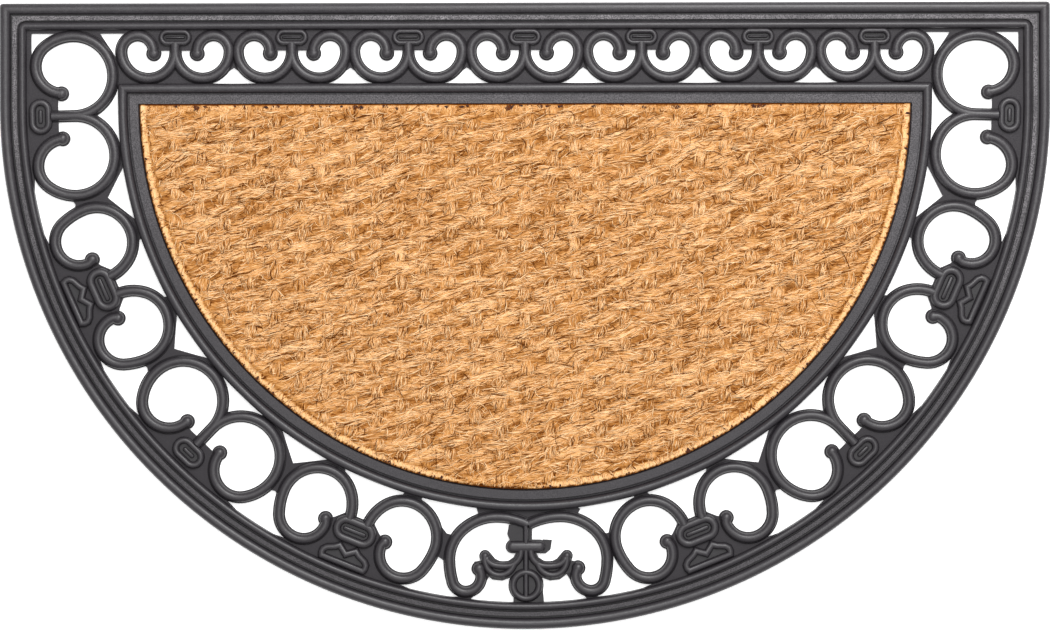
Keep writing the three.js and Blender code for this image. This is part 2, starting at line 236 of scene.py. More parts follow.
# Ring of an oval or a crown: steps over its crest, the depth of its pocket, and a crown's own width
RIM_STEPS = 8
POCKET_DEPTH = 0.2
CROWN_RIM = 5.2

# Fleur in the centre unit: a stem, a cross bar, a crescent leaf on each side, and a ring with a spine
LEAF_HALF_WIDTH = 2.7
LEAF_TOP = 6.8
LEAF_WEB_TOP = 3.4
LEAF_UPPER = {
    "start": (3.4, -318.5, 172),
    "stretches": [
        {"run": 2.4},
        {"radius": 10.3, "turn": -75},
        {"radius": 29, "turn": -17},
        {"radius": 10.5, "turn": -44},
        {"run": 0.4},
    ],
}
LEAF_LOWER = {
    "start": (7.6, -326.6, 155),
    "stretches": [
        {"run": 3.8},
        {"radius": 10.8, "turn": -60},
        {"radius": 10, "turn": -65},
        {"radius": 13.5, "turn": -38},
    ],
}
FLEUR_STEM = {"start": (0, -296, 180), "run": 18, "half_width": 2.0}
FLEUR_BAR = {"y": -316, "half_x": 14.6, "half_y": 4.9}
FLEUR_SPINE = {"start": (0, -317.5, 180), "run": 35, "half_width": 2.1, "top": 6.7}
FLEUR_RING = {"y": -343.6, "outer": 12.0, "inner": 6.7}
FLEUR_WEBS = [
    [(-4.4, -298), (4.4, -298), (4.4, -314), (-4.4, -314)],
    [(-12.2, -300.5), (0, -300), (0, -312), (-11.4, -312), (-13.4, -307)],
    [(12, -311), (18.6, -311.4), (17.6, -318), (14, -321), (10, -321)],
    [(-9, -349), (0, -350), (12, -345), (12.9, -357), (-9, -357)],
    [(-5, -316), (5, -316), (8.4, -324), (10, -334), (6, -338), (-6, -338), (-10, -334), (-8.4, -324)],
]
LEAF_WEB = [(0.4, -316.5), (6, -318.4), (9, -323.8), (12.6, -326.2), (17.6, -327), (22, -324.8),
            (25.5, -320.6), (28.6, -320.2), (30.6, -326), (37, -326.8), (37, -333), (29.4, -335.5),
            (24, -339.6), (17, -340.4), (11.6, -338.4), (7.4, -334), (4.4, -328), (0.4, -323)]
FLEUR_WEB_STEP = 0.06

# Weave: half sizes of a weft float and of the warp's nub between two floats, and the float's slant
FLOAT_HALF_X = 16.2
FLOAT_HALF_Y = 5.5
FLOAT_SLANT = 0.13
NUB_HALF_X = 5.6
NUB_HALF_Y = 5.9
NUB_SHARE = 0.8
PIT_SHARE = 0.3
RIM_WIDTH = 5.0
RIM_TOP = 6.9
EDGE_ROW = 5.6
CELL = 1.3
WARPED_BY = 0.9

# Fibres: sides of a strand, seeds, groups on the weave, and the shares of their number that follow the
# weft, follow the warp and lie loose
FIBRE_SIDES = 3
STRAND_POINTS = 3
STRAY_POINTS = 6
GROUP_SEED = 100
EDGE_SEED = 200
FIBRE_GROUPS = 3
WEFT_SHARE = 0.52
WARP_SHARE = 0.28
LOOSE_SHARE = 0.4
RIM_FIBRES = 3000
STRAY_FIBRES = 900

# Crumbs of rubber along the straight edge and round the arc
EDGE_CRUMBS = 62
ARC_CRUMBS = 84

# Settings of the rubber's finishes, among them the share of colour kept at the foot of the painted shade,
# and the contrast of the coir's streaks
RUBBER_FINISHES = {
    "rubber_smooth": {"grain": 0.2, "dust": 0.1, "roughness": 0.38, "kept_in_painted_shade": 0.65, "shine": 0.5},
    "rubber_grained": {"grain": 0.7, "dust": 0.72, "roughness": 0.55},
    "rubber_strip": {"grain": 0.6, "dust": 0.36, "roughness": 0.55},
    "rubber_dull": {"grain": 0.4, "dust": 0.08, "roughness": 0.6, "shine": 0.3},
}
COIR_CONTRASTS = {"coir_yarn": 0.6, "coir_fibre": 0.4}


def follow(bm, geom, start, stretches):
    """Drags vertices or a section along runs and bends. Returns the last copy and where it ends."""
    x, y, heading = start
    for stretch in stretches:
        angle = math.radians(heading)
        if "run" in stretch:
            step = (stretch["run"] * math.sin(angle), stretch["run"] * math.cos(angle), 0)
            made = bmesh.ops.spin(bm, geom=geom, cent=(0, 0, 0), dvec=step, axis=UP, angle=0, steps=1)
            x += step[0]
            y += step[1]
        else:
            radius, turn = stretch["radius"], stretch["turn"]
            side = math.copysign(radius, turn)
            centre = (x + side * math.cos(angle), y - side * math.sin(angle), 0)
            steps = stretch.get("steps") or math.ceil(abs(turn) / BEND_STEP)
            bend = -math.radians(turn)
            made = bmesh.ops.spin(bm, geom=geom, cent=centre, axis=UP, angle=bend, steps=steps)
            heading += turn
            angle = math.radians(heading)
            x = centre[0] - side * math.cos(angle)
            y = centre[1] + side * math.sin(angle)
        geom = made["geom_last"]
    return geom, (x, y, heading)


def path_points(start, stretches):
    """Points along a path, in their order"""
    bm = bmesh.new()
    follow(bm, [bm.verts.new((start[0], start[1], 0))], start, stretches)
    bm.verts.ensure_lookup_table()
    points = [(v.co.x, v.co.y) for v in bm.verts]
    bm.free()
    return points


def half_round(radius, rise, corner):
    """Points of a half-round outline, from its right end anticlockwise"""
    corner = min(max(corner, SHARP), rise - SHARP / 2)
    return path_points((radius, 0, 0), [
        {"run": rise - corner},
        {"radius": corner, "turn": -90, "steps": CORNER_STEPS},
        {"run": 2 * (radius - corner)},
        {"radius": corner, "turn": -90, "steps": CORNER_STEPS},
        {"run": rise - corner},
        {"radius": radius, "turn": -180, "steps": ARC_STEPS},
    ])[:-1]


def loft(bm, rows):
    """A closed ring from outlines of the same count, each drawn out of the one before. A row is its
    points and its height."""
    known = set(bm.verts)
    points, height = rows[0]
    verts = [bm.verts.new((x, y, height)) for x, y in points]
    edges = [bm.edges.new(pair) for pair in zip(verts, verts[1:] + verts[:1])]
    for points, height in rows[1:] + rows[:1]:
        made = bmesh.ops.extrude_edge_only(bm, edges=edges)["geom"]
        fresh = {g for g in made if isinstance(g, bmesh.types.BMVert)}
        edges = [g for g in made if isinstance(g, bmesh.types.BMEdge) and fresh.issuperset(g.verts)]
        verts = [next(o for e in v.link_edges if (o := e.other_vert(v)) in fresh) for v in verts]
        for v, (x, y) in zip(verts, points):
            v.co = (x, y, height)
    bm.verts.ensure_lookup_table()
    bmesh.ops.remove_doubles(bm, verts=[v for v in bm.verts if v not in known], dist=SHARP / 2)


def band(bm, radius, rise, rows):
    """A closed ring along a half-round outline. Each row of its section is inset, height, corner."""
    loft(bm, [
        (half_round(radius - inset, rise - inset, corner), height)
        for inset, height, corner in rows
    ])


def arch_rows(start, end, corner, foot, top, steps=10):
    """Rows of a round bead between two insets"""
    middle, half = (start + end) / 2, (end - start) / 2
    rows = []
    for i in range(steps + 1):
        angle = math.pi * i / steps
        inset = middle - half * math.cos(angle)
        rows.append((inset, foot + (top - foot) * math.sin(angle) ** 0.8, corner - (inset - start)))
    return rows


def strip_rows(strip, foot, top):
    """Rows of a flat strip with eased edges"""
    start, end = strip["start"], strip["end"]
    outer, inner = strip["corner"], strip.get("inner_corner", SHARP)
    return [
        (start, foot, outer),
        (start + 0.1, top - ROUNDING, outer),
        (start + ROUNDING, top, outer),
        (end - ROUNDING, top, inner + ROUNDING),
        (end - 0.1, top - ROUNDING, inner + 0.1),
        (end, foot, inner),
    ]


def bead_band(bm, radius, rise, bead, top):
    rows = arch_rows(bead["start"], bead["end"], bead["corner"], GROOVE_TOP, top)
    band(bm, radius, rise, [(bead["start"], 0, bead["corner"]), *rows, (bead["end"], 0, SHARP)])


def strip_band(bm, radius, rise, strip, top):
    band(bm, radius, rise, strip_rows(strip, LEDGE_TOP, top))


def rib_section(half_width, top):
    right = [(share_x * half_width, share_z * top) for share_x, share_z in RIB_SECTION]
    return right + [(-x, z) for x, z in reversed(right[:-1])]


def rib(bm, start, stretches, half_width, top, tip=True):
    """A rib along a path, flat at its start and round at its tip"""
    x, y, heading = start
    place = Matrix.Translation((x, y, 0)) @ Matrix.Rotation(-math.radians(heading), 4, "Z")
    corners = [bm.verts.new(place @ Vector((off, 0, z))) for off, z in rib_section(half_width, top)]
    cap = bm.faces.new(corners)
    last, end = follow(bm, cap.edges[:] + corners, start, stretches)
    bmesh.ops.contextual_create(bm, geom=[e for e in last if isinstance(e, bmesh.types.BMEdge)])
    if tip:
        dome(bm, end, half_width * TIP_SWELL, top)


def dome(bm, at, half_width, top):
    """The round end of a rib"""
    x, y, _ = at
    profile = [(0, 0)] + [(share_x * half_width, share_z * top) for share_x, share_z in RIB_SECTION]
    spun(bm, profile, x, y, 24)


def spun(bm, profile, x, y, steps):
    """A closed round shape of a profile of radius and height, turned about an upright axis"""
    known = set(bm.verts)
    verts = [bm.verts.new((x + radius, y, height)) for radius, height in profile]
    edges = [bm.edges.new(pair) for pair in zip(verts, verts[1:])]
    bmesh.ops.spin(
        bm, geom=verts + edges, cent=(x, y, 0), axis=UP, angle=math.tau, steps=steps, use_merge=True,
    )
    bm.verts.ensure_lookup_table()
    bmesh.ops.remove_doubles(bm, verts=[v for v in bm.verts if v not in known], dist=SHARP / 2)


def outline_face(bm, points, height=0):
    return bm.faces.new([bm.verts.new((x, y, height)) for x, y in points])


def raise_face(bm, face, rise):
    """Extrudes a face upwards and leaves a floor under it, so that the shape stays closed"""
    made = bmesh.ops.extrude_face_region(bm, geom=[face], use_keep_orig=True)
    verts = [v for v in made["geom"] if isinstance(v, bmesh.types.BMVert)]
    bmesh.ops.translate(bm, vec=(0, 0, rise), verts=verts)
    return next(f for f in made["geom"] if isinstance(f, bmesh.types.BMFace))


def inset_rows(bm, face, rows):
    """Steps a face inwards, up or down, row by row"""
    if face.normal.z < 0:
        face.normal_flip()
    for inward, rise in rows:
        face.normal_update()
        up = 1 if face.normal.z > 0 else -1
        bmesh.ops.inset_region(bm, faces=[face], thickness=inward, depth=up * rise, use_even_offset=True)
    return face


def stadium(half_x, half_y, y):
    """Points of an outline with round ends"""
    run = {"run": 2 * (half_x - half_y)}
    bend = {"radius": half_y, "turn": -180, "steps": 16}
    return path_points((half_y - half_x, y - half_y, 90), [run, bend, run, bend])[:-1]


def rimmed(bm, points, rim, top):
    """A raised ring with a round crest along an outline, and a pocket inside it"""
    face = raise_face(bm, outline_face(bm, points), GROOVE_TOP)
    face.normal_update()
    section = arch_rows(0, rim, 0, 0, top - GROOVE_TOP, RIM_STEPS)
    section[-1] = (rim, -POCKET_DEPTH, 0)
    inset_rows(bm, face, [(b[0] - a[0], b[1] - a[1]) for a, b in zip(section, section[1:])])


def oval(bm, size, top):
    rimmed(bm, stadium(size["half_x"], size["half_y"], size["y"]), size["rim"], top)
    core = outline_face(bm, stadium(size["core_x"], size["core_y"], size["y"]), GROOVE_TOP - ROUNDING)
    face = raise_face(bm, core, 1.0 + ROUNDING)
    inset_rows(bm, face, [(0.3, 0.5), (0.4, 0.3)])


def mirrored_copy(bm):
    """Adds the mirror image in x of all that a mesh holds"""
    made = bmesh.ops.duplicate(bm, geom=bm.verts[:] + bm.edges[:] + bm.faces[:])
    verts = [g for g in made["geom"] if isinstance(g, bmesh.types.BMVert)]
    faces = [g for g in made["geom"] if isinstance(g, bmesh.types.BMFace)]
    bmesh.ops.scale(bm, vec=(-1, 1, 1), verts=verts)
    bmesh.ops.reverse_faces(bm, faces=faces)


def turned(angle):
    return Matrix.Rotation(math.radians(angle), 4, "Z")


def heart_places(kind):
    """Where the units of a kind stand, as turns about the arc's centre"""
    angles = [row["angle"] for row in HEARTS if row["kind"] == kind]
    return [turned(side * angle) for angle in angles for side in ((1,) if kind == "centre" else (1, -1))]


def edge_places(count):
    return [Matrix.Translation(((i - (count - 1) / 2) * SMALL_PITCH, 0, 0)) for i in range(count)]


def unit_places(kind):
    return edge_places(SMALL_COUNT) if kind == "small" else heart_places(kind)


def add_copies(bm, unit, places):
    """Adds a unit's mesh to another one at each place, and frees the unit"""
    mesh = bpy.data.meshes.new("unit")
    unit.to_mesh(mesh)
    unit.free()
    for place in places:
        known = set(bm.verts)
        bm.from_mesh(mesh)
        bm.verts.ensure_lookup_table()
        bmesh.ops.transform(bm, matrix=place, verts=[v for v in bm.verts if v not in known])
    bpy.data.meshes.remove(mesh)


def to_row_frame(bm):
    place = Matrix.Translation((0, ARC_CENTRE_Y * MM, 0)) @ Matrix.Scale(MM, 4)
    bmesh.ops.transform(bm, matrix=place, verts=bm.verts)


def new_object(name, bm):
    mesh = bpy.data.meshes.new(name)
    bm.to_mesh(mesh)
    bm.free()
    obj = bpy.data.objects.new(name, mesh)
    bpy.context.scene.collection.objects.link(obj)
    return obj


def ride_on(obj, solid):
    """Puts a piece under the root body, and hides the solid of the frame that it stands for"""
    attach(obj, "root")
    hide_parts(solid)
    return obj


def finish_piece(name, bm, finish, crease=38):
    """Turns a mesh's faces outwards and places it as a piece of the rubber moulding. Edges that bend
    by more than the crease, in degrees, stay sharp."""
    bmesh.ops.recalc_face_normals(bm, faces=bm.faces)
    to_row_frame(bm)
    obj = new_object(name, bm)
    obj.data.materials.append(known_finish(finish))
    obj.data.shade_smooth()
    obj.data.set_sharp_from_angle(angle=math.radians(crease))
    ride_on(obj, "rubber_frame")


def scroll_opening(kind):
    """The outline inside a scroll, along the middle of its rib and back along the membrane's edge"""
    scroll = SCROLLS[kind]
    return path_points(scroll["start"], scroll["stretches"]) + scroll["closing"]


def cutter(outlines, places):
    """An object of closed blocks that cut outlines through the membrane"""
    unit = bmesh.new()
    for points in outlines:
        raise_face(unit, outline_face(unit, points, -1), LEDGE_TOP + 2)
    bm = bmesh.new()
    add_copies(bm, unit, places)
    bmesh.ops.recalc_face_normals(bm, faces=bm.faces)
    return new_object("cutter", bm)


def all_cutters():
    """Cutters in groups whose blocks don't overlap each other"""
    groups = []
    for kind in SCROLLS:
        right = scroll_opening(kind)
        places = unit_places(kind)
        groups.append(cutter([right], places))
        groups.append(cutter([mirrored(right)], places))
        for outline in OPENINGS.get(kind, []):
            groups.append(cutter([outline], places))
    angles = [row["angle"] for row in HEARTS]
    between = [turned(side * (a + b) / 2) for a, b in zip(angles, angles[1:]) for side in (1, -1)]
    groups.append(cutter(OPENINGS["gap"], between))
    groups.append(cutter(OPENINGS["small_gap"], edge_places(SMALL_COUNT - 1)))
    groups.append(cutter(OPENINGS["corner"], [Matrix.Identity(4)]))
    return groups


def cut_through(obj, cutters):
    """Cuts each cutter out of an object and removes it"""
    for made in cutters:
        cut = obj.modifiers.new("cut", "BOOLEAN")
        cut.operation = "DIFFERENCE"
        cut.solver = "MANIFOLD"
        cut.object = made
    shape = bpy.data.meshes.new_from_object(obj.evaluated_get(bpy.context.evaluated_depsgraph_get()))
    for used in [obj, *cutters]:
        bpy.data.objects.remove(used)
    bm = bmesh.new()
    bm.from_mesh(shape)
    bpy.data.meshes.remove(shape)
    return bm


def node(tree, kind, settings=None, **inputs):
    """Adds a shader node. Inputs are named by their sockets, with underscores for blanks."""
    made = tree.nodes.new(kind)
    for key, value in (settings or {}).items():
        setattr(made, key, value)
    for key, value in inputs.items():
        socket = made.inputs[key.replace("_", " ")]
        if isinstance(value, bpy.types.NodeSocket):
            tree.links.new(value, socket)
        else:
            socket.default_value = value
    return made


def blank_finish(name):
    """A new material's tree and its shader"""
    finish = bpy.data.materials.new(name)
    finish.use_nodes = True
    tree = finish.node_tree
    return finish, tree, tree.nodes["Principled BSDF"]


def noise(tree, vector, scale, detail=3.0, roughness=0.55):
    return node(
        tree, "ShaderNodeTexNoise", Vector=vector, Scale=scale, Detail=detail, Roughness=roughness,
    ).outputs["Fac"]


def ramp(tree, factor, stops):
    """Colours or levels along a factor. Each stop is a place and a colour or a level."""
    made = node(tree, "ShaderNodeValToRGB", Fac=factor)
    elements = made.color_ramp.elements
    while len(elements) < len(stops):
        elements.new(0.5)
    for element, (place, colour) in zip(elements, stops):
        element.position = place
        element.color = (*colour, 1) if hasattr(colour, "__len__") else (colour, colour, colour, 1)
    return made.outputs["Color"]


def blended(tree, factor, low, high, mode="MIX"):
    """Mixes two colours"""
    made = tree.nodes.new("ShaderNodeMix")
    made.data_type = "RGBA"
    made.blend_type = mode
    for index, value in ((0, factor), (6, low), (7, high)):
        if isinstance(value, bpy.types.NodeSocket):
            tree.links.new(value, made.inputs[index])
        else:
            made.inputs[index].default_value = value
    return made.outputs[2]


def bump(tree, height, strength, distance, normal=None):
    made = node(tree, "ShaderNodeBump", Height=height, Strength=strength, Distance=distance)
    if normal is not None:
        tree.links.new(normal, made.inputs["Normal"])
    return made.outputs["Normal"]


def rubber_finish(name, grain, dust, roughness, kept_in_painted_shade=1.0, shine=0.42):
    """Moulded rubber: dark, satin, with fine grain and a little dust. Shade is painted into its colour
    and its reflection lower down, on the flanks of beads and in ledges and grooves, where the lowest
    parts keep only a share of their colour.
    """
    colours = bpy.context.scene.doormat_colours
    finish, tree, shader = blank_finish(name)
    place = node(tree, "ShaderNodeTexCoord").outputs["Object"]
    fine = noise(tree, place, 1300.0, 2.0, 0.6)
    patches = noise(tree, place, 60.0, 4.0, 0.6)
    specks = ramp(tree, fine, [(0.4, 0.0), (0.64, 1.0)])
    cloud = ramp(tree, patches, [(0.3, 0.0), (0.72, 1.0)])
    worn = blended(tree, specks, (*colours.rubber, 1), (*colours.rubber_dust, 1))
    amount = blended(tree, cloud, (dust * 0.45,) * 3 + (1,), (dust * 1.1,) * 3 + (1,))
    # The share of pale specks grows toward the straight edge, and a little to the right: the rubber is
    # lighter there
    side = node(tree, "ShaderNodeVectorMath", {"operation": "DOT_PRODUCT"})
    tree.links.new(place, side.inputs[0])
    side.inputs[1].default_value = (0.07, 1, 0)
    toward_straight_edge = side.outputs["Value"]
    specks_by_side = node(tree, "ShaderNodeMapRange", Value=toward_straight_edge, From_Min=-0.01, From_Max=0.13, To_Min=0.25)
    speck_share = blended(tree, 1.0, amount, specks_by_side.outputs["Result"], "MULTIPLY")
    clean = blended(tree, speck_share, (*colours.rubber, 1), worn)
    # Painted shade: the colour darkens from 6.8 mm down to 3.4 mm above the floor, on bead flanks, ledges
    # and grooves
    height = node(tree, "ShaderNodeSeparateXYZ", Vector=place).outputs["Z"]
    painted_light = node(tree, "ShaderNodeMapRange", Value=height, From_Min=0.0034, From_Max=0.0068, To_Min=kept_in_painted_shade)
    painted_shade_colour = blended(tree, painted_light.outputs["Result"], (0, 0, 0, 1), clean)
    tree.links.new(painted_shade_colour, shader.inputs["Base Color"])
    # Painted shade on the reflection too: the specular level falls with the same height
    painted_shade_sheen = node(tree, "ShaderNodeMath", {"operation": "MULTIPLY"})
    tree.links.new(painted_light.outputs["Result"], painted_shade_sheen.inputs[0])
    painted_shade_sheen.inputs[1].default_value = shine
    tree.links.new(painted_shade_sheen.outputs[0], shader.inputs["Specular IOR Level"])
    low, high = roughness - 0.08, roughness + 0.1
    gloss = node(tree, "ShaderNodeMapRange", Value=patches, To_Min=low, To_Max=high)
    tree.links.new(gloss.outputs["Result"], shader.inputs["Roughness"])
    wavy = bump(tree, noise(tree, place, 160.0, 2.0), 0.3, 0.0006)
    tree.links.new(bump(tree, fine, grain, 0.0003, wavy), shader.inputs["Normal"])
    return finish


def crumb_finish(name):
    """Crumbs of rubber with coir dust on them"""
    colours = bpy.context.scene.doormat_colours
    finish, tree, shader = blank_finish(name)
    place = node(tree, "ShaderNodeTexCoord").outputs["Object"]
    colour = ramp(tree, noise(tree, place, 700.0), [(0.35, colours.rubber), (0.75, colours.coir_deep)])
    tree.links.new(colour, shader.inputs["Base Color"])
    shader.inputs["Roughness"].default_value = 0.9
    shader.inputs["Specular IOR Level"].default_value = 0.1
    return finish


def streaks(tree, place, across_x, across_y, turn):
    """Long thin noise, as of fibres that lie side by side"""
    scale = (across_x, across_y, 600)
    along = node(tree, "ShaderNodeMapping", Vector=place, Scale=scale, Rotation=(0, 0, turn))
    return noise(tree, along.outputs["Vector"], 1.0, 4.0, 0.7)


def coir_finish(name, contrast):
    """Coir fibre: golden straw, darkened in its depths by the painted shade that the shade attribute
    carries, with streaks along whichever yarn is on top
    """
    colours = bpy.context.scene.doormat_colours
    finish, tree, shader = blank_finish(name)
    place = node(tree, "ShaderNodeTexCoord").outputs["Object"]
    shade = node(tree, "ShaderNodeAttribute", {"attribute_name": "shade"}).outputs["Fac"]
    warp = node(tree, "ShaderNodeAttribute", {"attribute_name": "warp"}).outputs["Fac"]
    bent = node(tree, "ShaderNodeVectorMath", {"operation": "MULTIPLY_ADD"})
    drift = node(tree, "ShaderNodeTexNoise", Vector=place, Scale=140.0)
    tree.links.new(drift.outputs["Color"], bent.inputs[0])
    bent.inputs[1].default_value = (0.004, 0.004, 0)
    tree.links.new(place, bent.inputs[2])
    weft_lines = streaks(tree, bent.outputs[0], 170.0, 1500.0, -FLOAT_SLANT)
    warp_lines = streaks(tree, bent.outputs[0], 1500.0, 200.0, 0)
    lines = node(tree, "ShaderNodeMix", Factor=warp)
    tree.links.new(weft_lines, lines.inputs["A"])
    tree.links.new(warp_lines, lines.inputs["B"])
    sharp = node(tree, "ShaderNodeMapRange", Value=lines.outputs["Result"], From_Min=0.34, From_Max=0.66)
    mixed = node(tree, "ShaderNodeMath", {"operation": "MULTIPLY_ADD"})
    tree.links.new(sharp.outputs["Result"], mixed.inputs[0])
    mixed.inputs[1].default_value = contrast
    tree.links.new(shade, mixed.inputs[2])
    most = 1 + contrast / 2
    level = node(tree, "ShaderNodeMapRange", Value=mixed.outputs[0], From_Min=0, From_Max=most)
    colour = ramp(tree, level.outputs["Result"], [
        (0.0, colours.coir_deep),
        (0.3, colours.coir_shade),
        (0.6, colours.coir_mid),
        (1.0, colours.coir_pale),
    ])
    tree.links.new(colour, shader.inputs["Base Color"])
    tree.links.new(bump(tree, sharp.outputs["Result"], 0.7, 0.0005), shader.inputs["Normal"])
    shader.inputs["Roughness"].default_value = 0.8
    shader.inputs["Specular IOR Level"].default_value = 0.04
    return finish


def known_finish(name):
    """A finish by its name, made when it is first asked for"""
    if name in bpy.data.materials:
        return bpy.data.materials[name]
    if name in RUBBER_FINISHES:
        return rubber_finish(name, **RUBBER_FINISHES[name])
    if name in COIR_CONTRASTS:
        return coir_finish(name, COIR_CONTRASTS[name])
    return crumb_finish(name)


class Waves:
    """Smooth unevenness over the mat, as a sum of a few waves with seeded phases"""

    def __init__(self, seed, length, count=7):
        draws = np.random.default_rng(seed)
        angles = draws.uniform(0, math.tau, count)
        sizes = math.tau / (length * draws.uniform(0.6, 1.6, count))
        self.kx, self.ky = sizes * np.cos(angles), sizes * np.sin(angles)
        self.phase = draws.uniform(0, math.tau, count)
        self.share = 1 / math.sqrt(count / 2)

    def at(self, x, y):
        total = np.zeros_like(x)
        for kx, ky, phase in zip(self.kx, self.ky, self.phase):
            total += np.sin(kx * x + ky * y + phase)
        return total * self.share


class Weave:
    """Plain weave of thick coir yarns: weft floats in rows, warp nubs between them"""

    def __init__(self, sizes):
        self.pitch_y = sizes.weft_pitch / MM
        self.pitch_x = sizes.warp_pitch / MM
        self.relief = sizes.relief / MM
        self.shift_x = Waves(11, 70)
        self.shift_y = Waves(12, 55)
        self.lumps = Waves(13, 9, 11)
        self.crumbs = Waves(14, 3.2, 13)
        rows = math.ceil(COIR_RADIUS / self.pitch_y) + 3
        columns = math.ceil(COIR_RADIUS / self.pitch_x) + 4
        draws = np.random.default_rng(15)
        shape = (rows, columns)
        self.tall = draws.uniform(0.86, 1.06, shape)
        self.fat = draws.uniform(0.9, 1.14, shape)
        self.lean = draws.normal(FLOAT_SLANT, 0.05, shape)
        self.off = draws.normal(0, 0.5, shape)
        self.tone = draws.normal(0, 0.06, shape)

    def cell(self, x, row, warp):
        """Middle of the nearest float, or nub, of a row, and its place in the tables of unevenness"""
        period = 2 * self.pitch_x
        offset = (row % 2 + warp) * self.pitch_x
        number = np.round((x - offset) / period)
        rows, columns = self.tall.shape
        return number * period + offset, (row + 1) % rows, (number.astype(int) * 2 + warp) % columns

    def bent(self, x, y):
        return x + WARPED_BY * self.shift_x.at(x, y), y + WARPED_BY * self.shift_y.at(x, y)

    def height(self, x, y):
        """Relief up to about 1 on a float's crest, the tone of the yarn, and 1 where warp is on top"""
        x, y = self.bent(x, y)
        base_row = np.floor(-y / self.pitch_y).astype(int)
        best = np.full_like(x, PIT_SHARE)
        tone = np.full_like(x, -0.2)
        warp_on_top = np.zeros_like(x)
        for near in (-1, 0, 1):
            row = base_row + near
            down = -y - (row + 0.5) * self.pitch_y
            for warp in (0, 1):
                middle, i, j = self.cell(x, row, warp)
                across = x - middle
                if warp:
                    gone = (np.abs(across) / NUB_HALF_X) ** 2.6 + (np.abs(down) / NUB_HALF_Y) ** 2.4
                    high = NUB_SHARE * self.tall[i, j]
                else:
                    lean = down + self.lean[i, j] * across + self.off[i, j]
                    half = FLOAT_HALF_Y * self.fat[i, j]
                    gone = (np.abs(across) / FLOAT_HALF_X) ** 2.3 + (lean / half) ** 2
                    high = self.tall[i, j]
                here = high * np.sqrt(np.clip(1 - gone, 0, 1))
                tone = np.where(here > best, self.tone[i, j] - 0.03 * warp, tone)
                warp_on_top = np.where(here > best, warp, warp_on_top)
                best = np.maximum(best, here)
        return best, tone, warp_on_top

    def zones(self, x, y):
        """Shares, from 0 to 1, of the pressed rim, the groove inside it, the pressed row at the straight
        edge, and the outermost edge"""
        from_rim = COIR_RADIUS - np.hypot(x, y)
        unpressed = np.clip((np.abs(x + 18) - 12) / 30, 0.1, 1)
        width = RIM_WIDTH * np.where(y < -200, unpressed, 1) + 0.4 * self.lumps.at(x, y)
        rim = np.clip((width - from_rim) / 0.7, 0, 1)
        groove = np.clip(1 - np.abs(from_rim - width - 0.8) / 1.1, 0, 1)
        row = np.clip((EDGE_ROW + y) / 1.8, 0, 1)
        edge = np.clip(1 - np.minimum(from_rim, -y) / 1.3, 0, 1)
        return rim, groove, row, edge

    def surface(self, x, y):
        """Height above the floor"""
        relief = self.height(x, y)[0]
        rim, groove, row, edge = self.zones(x, y)
        top = COIR_CREST - 0.3 - self.relief * (1 - relief) + 0.12 * self.lumps.at(x, y)
        top = top * (1 - rim) + (RIM_TOP + 0.06 * self.lumps.at(x, y)) * rim
        top = top * (1 - 0.55 * row) + (RIM_TOP + 0.3 + 0.4 * relief) * 0.55 * row
        return top - 0.9 * groove - 1.9 * edge

    def shade(self, x, y):
        """Lightness of the cloth under its fibres, with painted shade in its pits, in the groove inside
        the rim and along its outermost edge
        """
        relief, tone, warp = self.height(x, y)
        rim, groove, row, edge = self.zones(x, y)
        # Painted shade: the cloth is darker where its relief is lower, in the pits between floats
        woven = 0.08 + 0.1 * relief + tone - 0.03 * warp
        woven = woven * (1 - rim) + 0.55 * rim
        # Painted shade in the groove inside the rim, and a painted shadow line along the outermost edge
        # next to the rubber
        return woven + 0.1 * row - 0.35 * groove - 0.9 * (edge > 0.25)


def set_attribute(mesh, name, values):
    layer = mesh.attributes.new(name, "FLOAT", "POINT")
    layer.data.foreach_set("value", values.astype(np.float32))


def coir_sheet(weave):
    """The insert's cloth: a half disc of woven relief on top, flat below"""
    bm = bmesh.new()
    half = COIR_RADIUS / 2
    place = Matrix.Translation((0, -half, 0)) @ Matrix.Diagonal((COIR_RADIUS, half, 1, 1))
    steps = round(2 * COIR_RADIUS / CELL)
    bmesh.ops.create_grid(bm, x_segments=steps, y_segments=steps // 2, size=1, matrix=place)
    limit = COIR_RADIUS + 0.15 * CELL
    outside = [f for f in bm.faces if all(v.co.length > COIR_RADIUS for v in f.verts)]
    bmesh.ops.delete(bm, geom=outside, context="FACES")
    for v in bm.verts:
        if v.co.length > limit - CELL * 0.45:
            v.co *= COIR_RADIUS / v.co.length
    bmesh.ops.remove_doubles(bm, verts=bm.verts, dist=SHARP)
    rim = [e for e in bm.edges if e.is_boundary]
    made = bmesh.ops.extrude_edge_only(bm, edges=rim)
    low = [g for g in made["geom"] if isinstance(g, bmesh.types.BMVert)]
    bmesh.ops.translate(bm, vec=(0, 0, COIR_BASE), verts=low)
    for v in low:
        v.tag = True
    top = [v for v in bm.verts if not v.tag]
    x, y = np.array([v.co.x for v in top]), np.array([v.co.y for v in top])
    for v, height in zip(top, weave.surface(x, y)):
        v.co.z = height
    edges = [g for g in made["geom"] if isinstance(g, bmesh.types.BMEdge) and all(v.tag for v in g.verts)]
    bmesh.ops.contextual_create(bm, geom=edges)
    return bm


